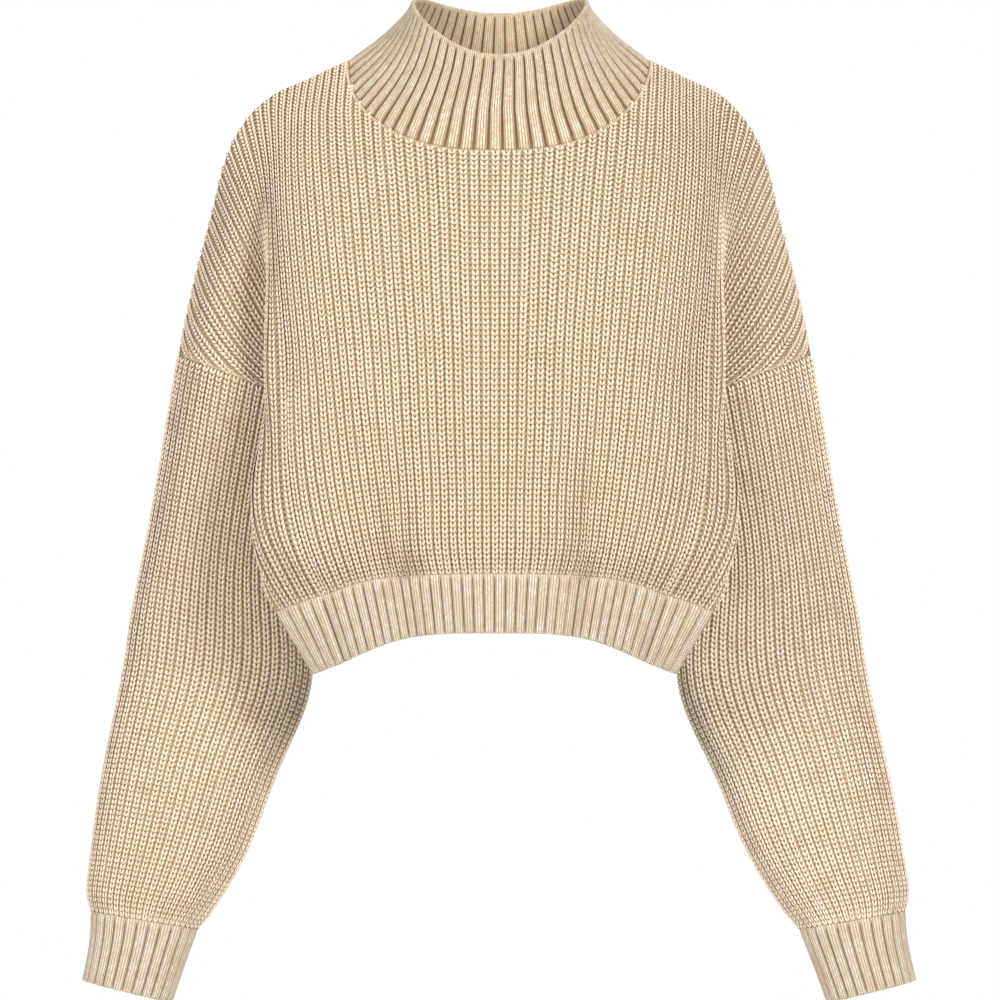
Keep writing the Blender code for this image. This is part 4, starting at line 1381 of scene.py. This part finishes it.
@dataclass
class BodyPanel(RibKnit):
    """Front or back of the body."""

    shop: Workshop
    facing: Facing
    flat: tuple[float, float] = (0.60, 0.46)
    area: float = 0.21
    inner_relief: float = 0.7 * MM
    # How strong the painted shade in the inner hollows is.
    inner_shade: float = 0.8
    course_height: float = 3.9 * MM
    edge_margin: float = 0.1
    row_count: int = 57
    seed: int = 11
    rib_number: int = 100

    @property
    def name(self) -> str:
        """Name of the CAD node."""
        return self.facing.name.lower()

    @property
    def form(self) -> PanelForm:
        """This panel's form."""
        return self.shop.panels[self.facing]

    @staticmethod
    def columns() -> Array:
        """Ribs at which the shell has a column: peaks, grooves and the neck's corners."""
        last = math.floor(LAST_FREE_RIB)
        ribs = set(np.arange(-last, last + 0.25, 0.5).tolist())
        for rib in NECK_CORNER_RIBS + (EDGE_RIBS[-1],):
            ribs.update((rib, -rib))
        return np.array(sorted(ribs))

    def seam_normals(self, ribs: Array, rises: Array) -> Array:
        """The panel's directions, made one with its neighbour's along every seam."""
        normals = self.form.normals(ribs, rises)
        both = unit(normals + self.shop.panels[self.facing.other].normals(ribs, rises))
        sizes = np.abs(ribs[0])
        shoulder = sizes >= NECK_HALF_RIBS
        side = (sizes >= EDGE_RIBS[0]) & (sizes <= EDGE_RIBS[1])
        normals[-1, shoulder] = both[-1, shoulder]
        normals[0, side] = both[0, side]
        at_neck = np.flatnonzero(sizes <= NECK_HALF_RIBS)
        edge = self.form.points(ribs[-1, at_neck], rises[-1, at_neck])
        normals[-1, at_neck] = self.shop.neck.normals_near(edge)
        return self.kept_off_armhole(normals, ribs, self.form.points(ribs, rises))

    def kept_off_armhole(self, normals: Array, ribs: Array, points: Array) -> Array:
        """Directions that don't lead the wall under the armholes' planes."""
        for side in Side:
            sign = side.value
            plane = TubeForm(SLEEVE_SECTIONS, side).plane(SLEEVE_SECTIONS[0])
            centre = MM * np.array(SLEEVE_SECTIONS[0][1:4]) * (sign, 1, 1)
            height = dot(points - centre, plane)[..., 0]
            low = (ribs * sign >= EDGE_RIBS[1]) & (height < 2 * self.wall)
            edge = normals[low]
            normals[low] = unit(edge - plane * np.maximum(dot(edge, plane), 0))
        return normals

    def shell(self) -> ClothShell:
        """The cloth under the stitches, with ribs outside and their hollows inside, painted darker in the
        inner hollows.
        """
        row = self.columns()
        share = np.linspace(0, 1, self.row_count)[:, None]
        rises = self.form.rises_at(row[None], share)
        ribs = np.array(np.broadcast_to(row, rises.shape))
        normals = self.seam_normals(ribs, rises)
        points = self.form.points(ribs, rises)
        wave = rib_wave(ribs)
        relief = self.relief * wave
        relief[[0, -1]] = 0.0
        relief[:, [0, -1]] = 0.0
        outer = points + normals * relief[..., None]
        inner = points - normals * (self.wall - self.inner_relief * wave)[..., None]
        courses = stitch_courses(points, self.course_height)
        # Outside left lit; inside with painted shade in the hollows behind the ribs.
        return ClothShell(outer, inner, ribs, courses, np.ones(rises.shape), False,
                          inner_painted_shading=1 - self.inner_shade * wave)

    def cloud(self) -> StitchCloud:
        """A stitch for each rib and course between the seams."""
        last = math.floor(EDGE_RIBS[-1])
        clouds = []
        for rib in range(-last, last + 1):
            fine = np.linspace(0, float(self.form.top_rise(rib)), RIB_SAMPLES)
            length = running_length(self.form.points(float(rib), fine)[:, None])[:, 0]
            at, pitch = stitch_places(length[-1], self.course_height)
            rise = np.interp(at, length, fine)
            kept = abs(rib) <= self.form.edge_rib(rise) - self.edge_margin
            kept &= rise > self.form.bottom_rise(rib) + self.edge_margin * pitch / length[-1]
            clouds.append(self.column(rib, rise[kept], pitch, 0.5 * pitch * fine[-1] / length[-1]))
        return StitchCloud.joined(clouds)

    def column(self, rib: int, rise: Array, pitch: float, step: float) -> StitchCloud:
        """The stitches of one rib.

        Args:
            rib: The rib's number.
            rise: Where along it the stitches sit.
            pitch: Height of a course.
            step: Half a course as a rise.

        Returns:
            A cloud of that rib's stitches.
        """
        form = self.form
        normals = form.normals(rib, rise)
        place = form.points(rib, rise)
        up = unit(form.points(rib, np.minimum(rise + step, 1)) - form.points(rib, np.maximum(rise - step, 0)))
        across = form.points(rib + 0.5, rise) - form.points(rib - 0.5, rise)
        width = np.linalg.norm(np.cross(across, up), axis=-1)
        return stitch_column(place + normals * self.stitch_lift, normals, up, width, pitch,
                             self.stitch_height, rib + self.rib_number * self.facing.value)

    def make(self) -> None:
        """Builds and dresses the panel."""
        self.dress(MAIN_GROUND, MAIN_YARN, self.seed + self.facing.value, ["collar_cloth"])


@dataclass
class Sleeve(RibKnit):
    """One balloon sleeve."""

    shop: Workshop
    side: Side
    flat: tuple[float, float] = (0.36, 0.42)
    area: float = 0.13
    seam_gap: float = 0.35 * MM
    course_height: float = 3.85 * MM
    row_count: int = 64
    seed: int = 31
    rib_number: int = 300

    def __post_init__(self) -> None:
        """Makes the sleeve's form."""
        self.form = TubeForm(SLEEVE_SECTIONS, self.side)

    @property
    def name(self) -> str:
        """Name of the CAD node."""
        return f"sleeve_{self.side.name.lower()}"

    def shell(self) -> ClothShell:
        """The cloth under the stitches, drawn in by half a seam's gap at both ends."""
        columns = np.arange(2 * SLEEVE_RIBS) / 2
        turns = self.form.turns_at(columns / SLEEVE_RIBS)
        runs = np.linspace(0, 1, self.row_count)
        points = self.form.points(turns, runs)
        normals = self.form.normals(turns, runs)
        points[0] -= self.form.plane(SLEEVE_SECTIONS[0]) * self.seam_gap / 2
        points[-1] += self.form.plane(SLEEVE_SECTIONS[-1]) * self.seam_gap / 2
        ribs = np.tile(columns, (len(runs), 1))
        relief = self.relief * rib_wave(ribs)
        relief[[0, -1]] = 0.0
        courses = stitch_courses(points[::-1], self.course_height)[::-1]
        return ClothShell(points + normals * relief[..., None], points - normals * self.wall, ribs, courses,
                          np.ones(ribs.shape), True)

    def cloud(self) -> StitchCloud:
        """A stitch for each rib and course, counted up from the cuff."""
        form = self.form
        shares = np.arange(-1, SLEEVE_RIBS + 1) / SLEEVE_RIBS
        turns = form.turns_at(shares % 1.0) + 2 * math.pi * np.floor(shares)
        fine = np.linspace(1, 0, RIB_SAMPLES)
        clouds = []
        for rib in range(SLEEVE_RIBS):
            here = turns[rib + 1:rib + 2]
            length = running_length(form.points(here, fine))[:, 0]
            at, pitch = stitch_places(length[-1], self.course_height)
            runs = np.interp(at, length, fine)
            step = 0.5 * pitch / length[-1]
            ahead = form.points(here, np.maximum(runs - step, 0))
            behind = form.points(here, np.minimum(runs + step, 1))
            up = unit(ahead - behind)[:, 0]
            normal = form.normals(here, runs)[:, 0]
            sides = form.points(turns[[rib, rib + 2]], runs)
            width = 0.5 * np.linalg.norm(np.cross(sides[:, 1] - sides[:, 0], up), axis=-1)
            place = form.points(here, runs)[:, 0] + normal * self.stitch_lift
            clouds.append(stitch_column(place, normal, up, width, pitch, self.stitch_height,
                                        rib + self.rib_number * self.side.value))
        return StitchCloud.joined(clouds)

    def make(self) -> None:
        """Builds and dresses the sleeve."""
        self.dress(SLEEVE_GROUND, SLEEVE_PAINTED_LIGHT_YARNS[self.side], self.seed + self.side.value,
                   ["front_cloth", "back_cloth"])


@dataclass(frozen=True)
class BandRib:
    """Cross-section of a band's rib: a flat top, a steep side and the floor of the groove.

    Widths are in ribs. `rim_fill` is how far the grooves are filled up at the free edge and `faded`
    how far the painted shade of the grooves fades at the seam, where the rib starts low.
    """

    plateau: float
    floor: float
    height: float
    places: tuple[float, ...]
    rim_fill: float
    faded: float = 0.0
    thin: float = 1.0 * MM
    rib_thickening: float = 0.6
    # How light the groove's floor is painted, falling off towards the free edge.
    floor_light: float = 3.0
    floor_light_end: float = 1.15
    foot_width: float = 0.01
    rim_start: float = 0.955
    rim_span: float = 0.04
    seam_span: float = 0.1
    seam_height: float = 0.25

    def columns(self, count: int) -> Array:
        """Places of the mesh columns, in ribs, over a number of ribs."""
        return (np.arange(count)[:, None] + np.array(self.places)[None]).ravel()

    def profile(self, columns: Array) -> Array:
        """How high the cloth stands at each column, from 0 on the groove's floor to 1."""
        apart = np.abs(columns - np.round(columns))
        return smooth_step((0.5 - self.floor / 2 - apart) / (0.5 - self.floor / 2 - self.plateau / 2))

    def light(self, columns: Array, shares: Array) -> Array:
        """Painted shading of the yarn: the foot of the steep side is painted darkest, the groove's floor
        darker towards the rim.
        """
        apart = np.abs(columns - np.round(columns))[None]
        foot = 0.5 - self.floor / 2
        floor = np.clip(self.floor_light * self.floor * (self.floor_light_end - shares), 0.0, 1.0)[:, None]
        return np.where(apart > foot + self.foot_width, floor, self.profile(columns)[None])

    def shell(self, points: Array, normals: Array, columns: Array, shares: Array,
              courses: Array, is_round: bool = True) -> ClothShell:
        """A ribbed band as a corrugated wall.

        Args:
            points: Grid of points of the band, a column for each of the mesh's.
            normals: Directions out of the cloth.
            columns: Places of the columns, in ribs.
            shares: For each row, how far it is from the seam to the free edge.
            courses: Grid of course numbers.
            is_round: Whether the band closes on itself.

        Returns:
            The shell, with its free edge rounded.
        """
        filled = self.rim_fill * smooth_step((shares - self.rim_start) / self.rim_span)[:, None]
        started = smooth_step(shares / self.seam_span)[:, None]
        profile = self.profile(columns)[None]
        profile = profile + (1 - profile) * filled
        # Painted shade of the grooves, taken away where they fill at the rim and near the seam.
        light = self.light(columns, shares)
        light = light + (1 - light) * filled
        light = light + (1 - light) * (1 - started) * self.faded
        rise = self.height * profile * (self.seam_height + (1 - self.seam_height) * started)
        depth = self.thin * (1 + self.rib_thickening * profile)
        return ClothShell(points + normals * rise[..., None], points - normals * depth[..., None],
                          np.tile(columns, (len(points), 1)), courses, light, is_round, has_rounded_end=True)


BAND_RIB = BandRib(0.84, 0.05, 1.1 * MM, (-0.5, -0.475, -0.448, -0.42, -0.1, 0.1, 0.42, 0.448, 0.475),
                   rim_fill=0.3, faded=0.9)
COLLAR_RIB = BandRib(0.70, 0.13, 1.5 * MM, (-0.5, -0.435, -0.39, -0.35, -0.1, 0.1, 0.35, 0.39, 0.435),
                     rim_fill=1.0)


@dataclass
class HemBand(Band):
    """Half of the ribbed band under the body."""

    shop: Workshop
    facing: Facing
    flat: tuple[float, float] = (0.40, 0.05)
    area: float = 0.018
    row_count: int = 14

    @property
    def name(self) -> str:
        """Name of the CAD node."""
        return f"hem_{self.facing.name.lower()}"

    def shell(self) -> ClothShell:
        """The band as a corrugated wall, open at the side seams."""
        columns = np.append(BAND_RIB.columns(HEM_RIBS), HEM_RIBS - 0.5)
        ribs = EDGE_RIBS[0] * (2 * (columns + 0.5) / HEM_RIBS - 1)
        shares = np.linspace(0, 1, self.row_count)
        points, normals = self.grid(self.shop.panels[self.facing], ribs, shares)
        beside = self.grid(self.shop.panels[self.facing.other], ribs, shares)[1]
        ends = [0, -1]
        normals[:, ends] = unit(normals[:, ends] + beside[:, ends])
        courses = -running_length(points) / self.course_height
        return BAND_RIB.shell(points, normals, columns, shares, courses, is_round=False)

    @staticmethod
    def grid(form: PanelForm, ribs: Array, shares: Array) -> tuple[Array, Array]:
        """Points of the band under a panel, and directions out of it; the seam row takes the panel's."""
        points = form.hem_points(ribs, shares)
        normals = grid_normals(points, form.facing, False)
        normals[0] = form.normals(ribs, np.zeros_like(ribs))
        return points, normals

    def make(self) -> None:
        """Builds and dresses the band."""
        self.dress(BAND_CLOTH, BAND_CLOTH, [f"{self.facing.name.lower()}_cloth"])


@dataclass
class CuffBand(Band):
    """Ribbed band at a wrist."""

    shop: Workshop
    side: Side
    flat: tuple[float, float] = (0.20, 0.055)
    area: float = 0.0105
    row_count: int = 20

    @property
    def name(self) -> str:
        """Name of the CAD node."""
        return f"cuff_{self.side.name.lower()}"

    def shell(self) -> ClothShell:
        """The band as a corrugated tube."""
        form = TubeForm(CUFF_SECTIONS, self.side)
        columns = BAND_RIB.columns(CUFF_RIBS)
        turns = form.turns_at((columns / CUFF_RIBS) % 1.0)
        runs = np.linspace(0, 1, self.row_count)
        points = form.points(turns, runs)
        courses = -running_length(points) / self.course_height
        return BAND_RIB.shell(points, form.normals(turns, runs), columns, runs, courses)

    def make(self) -> None:
        """Builds and dresses the cuff."""
        self.dress(BAND_CLOTH, BAND_CLOTH, [f"sleeve_{self.side.name.lower()}_cloth"])


@dataclass
class Collar(Band):
    """Stand-up collar in fine rib, from the neck seam to its rim."""

    shop: Workshop
    flat: tuple[float, float] = (0.50, 0.08)
    area: float = 0.036
    row_count: int = 40

    @property
    def name(self) -> str:
        """Name of the CAD node."""
        return "collar"

    def shell(self) -> ClothShell:
        """The collar as a corrugated ring."""
        columns = COLLAR_RIB.columns(COLLAR_RIBS)
        shares = columns / COLLAR_RIBS
        heights = np.linspace(0, 1, self.row_count)
        points = self.shop.neck.collar(shares, heights)
        normals = grid_normals(points, 1.0, True)
        normals[0] = self.shop.neck.normals(shares)
        courses = running_length(points) / self.course_height
        return COLLAR_RIB.shell(points, normals, columns, heights, courses)

    def make(self) -> None:
        """Builds and dresses the collar."""
        self.dress(COLLAR_CLOTH, COLLAR_INSIDE_PAINTED_LIGHT, ["front_cloth", "back_cloth"])


@dataclass
class NeckSeam:
    """A row of short upright stitches, side by side, that links the collar to the panels."""

    shop: Workshop
    spacing: float = 1.9 * MM
    length: float = 2.6 * MM
    height: float = 0.8 * MM
    lift: float = 0.5 * MM
    drop: float = 0.9 * MM
    reach: float = 0.5 * MM
    samples: int = 400
    seed: int = 71
    rib_number: int = 500

    def cloud(self) -> StitchCloud:
        """Stitches side by side round the seam."""
        shares = np.append(np.linspace(0, 1, self.samples, endpoint=False), 0.0)
        path, out = self.shop.neck.seam(shares), self.shop.neck.normals(shares)
        lengths = running_length(path[:, None])[:, 0]
        count = round(lengths[-1] / self.spacing)
        at = (np.arange(count) + 0.5) / count * lengths[-1]
        place, ahead, behind, normal = (
            np.stack([np.interp(where, lengths, line[:, k]) for k in range(3)], axis=-1)
            for where, line in ((at, path), (at + self.reach, path), (at - self.reach, path), (at, out)))
        normal = unit(normal)
        up = unit(np.cross(normal, ahead - behind))
        widths = np.full(count, lengths[-1] / count)
        cloud = stitch_column(place + normal * self.lift - up * self.drop, normal, up, widths, self.length,
                              self.height, self.rib_number, wander=0.0)
        cloud.sizes[:, 2] = self.height
        return cloud

    def make(self) -> None:
        """Builds and dresses the row."""
        declare(self.shop.grow("neck_seam", self.cloud(), LINK_YARN, self.seed))


# ------------------------------------------------------------------ studio


class Lamp(NamedTuple):
    """A soft square light that looks at the garment, with its power in watts."""

    name: str
    place: Point
    size: float
    power: float
    colour: Colour


LAMPS = (
    Lamp("key", (1.7, -2.3, 1.2), 0.9, 90.0, (1.0, 0.98, 0.955)),
    Lamp("fill", (-2.2, -1.9, 1.0), 1.0, 66.0, (1.0, 0.985, 0.97)),
    Lamp("back", (0.8, 2.4, 1.6), 1.4, 60.0, (1.0, 0.99, 0.98)),
)


@dataclass
class Studio:
    """Pale floor, soft lights and a long lens at chest height."""

    centre: Point = (1.44 * MM, 0.0, -309.6 * MM)
    view_width: float = 0.72
    distance: float = 10.0
    sensor: float = 36.0
    clip_end: float = 100.0
    floor_level: float = -1.35
    floor_size: float = 14.0
    floor_colour: Colour = (0.86, 0.86, 0.86)
    floor_roughness: float = 0.9
    seen_colour: Colour = (1.0, 1.0, 1.0)
    cast_colour: Colour = (1.0, 0.985, 0.96)
    world_strength: float = 0.28

    def camera(self) -> None:
        """Sets the camera straight in front."""
        data = bpy.data.cameras.new("camera")
        data.sensor_width = self.sensor
        data.lens = self.sensor * self.distance / self.view_width
        data.clip_end = self.clip_end
        camera = linked("camera", data)
        camera.location = (self.centre[0], -self.distance, self.centre[2])
        camera.rotation_euler = (math.pi / 2, 0.0, 0.0)
        bpy.context.scene.camera = camera

    def light(self, lamp: Lamp) -> None:
        """Adds a lamp."""
        data = bpy.data.lights.new(lamp.name, "AREA")
        data.size = lamp.size
        data.energy = lamp.power
        data.color = lamp.colour
        hung = linked(lamp.name, data)
        hung.location = lamp.place
        hung.rotation_euler = (Vector(self.centre) - Vector(lamp.place)).to_track_quat("-Z", "Y").to_euler()

    def floor(self) -> None:
        """Lays the pale floor well below the hem."""
        half = self.floor_size / 2
        corners = [(-half, -half), (half, -half), (half, half), (-half, half)]
        mesh = bpy.data.meshes.new("floor")
        mesh.from_pydata([(x, y, self.floor_level) for x, y in corners], [], [(0, 1, 2, 3)])
        material = bpy.data.materials.new("floor")
        material.use_nodes = True
        NodeBench(material.node_tree).feed(material.node_tree.nodes["Principled BSDF"],
                                           Base_Color=self.floor_colour, Roughness=self.floor_roughness)
        mesh.materials.append(material)
        linked("floor", mesh)

    def world(self) -> None:
        """White behind the garment, a softer grey as light on it."""
        world = bpy.data.worlds.new("studio")
        world.use_nodes = True
        world.node_tree.nodes.clear()
        bench = NodeBench(world.node_tree)
        mixed = bench.add("ShaderNodeMixShader")
        bench.put(mixed.inputs[0], bench.add("ShaderNodeLightPath").outputs["Is Camera Ray"])
        for socket, colour, strength in ((mixed.inputs[1], self.cast_colour, self.world_strength),
                                         (mixed.inputs[2], self.seen_colour, 1.0)):
            glow = bench.feed(bench.add("ShaderNodeBackground"), Color=colour, Strength=strength)
            bench.put(socket, glow.outputs[0])
        bench.put(bench.add("ShaderNodeOutputWorld").inputs[0], mixed.outputs[0])
        bpy.context.scene.world = world

    def make(self) -> None:
        """Sets up the whole studio."""
        bpy.context.scene.view_settings.view_transform = "Standard"
        self.camera()
        self.floor()
        self.world()
        for lamp in LAMPS:
            self.light(lamp)


# ------------------------------------------------------------------ whole garment


def main() -> None:
    """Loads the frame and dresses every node."""
    logging.basicConfig(level=logging.INFO, format="%(message)s")
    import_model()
    shop = Workshop()
    parts = [Collar(shop)]
    parts += [kind(shop, facing) for kind in (BodyPanel, HemBand) for facing in Facing]
    parts += [kind(shop, side) for kind in (Sleeve, CuffBand) for side in Side]
    parts.append(NeckSeam(shop))
    for part in parts:
        part.make()
    shop.clear()
    Studio().make()


if __name__ == "__main__":
    main()
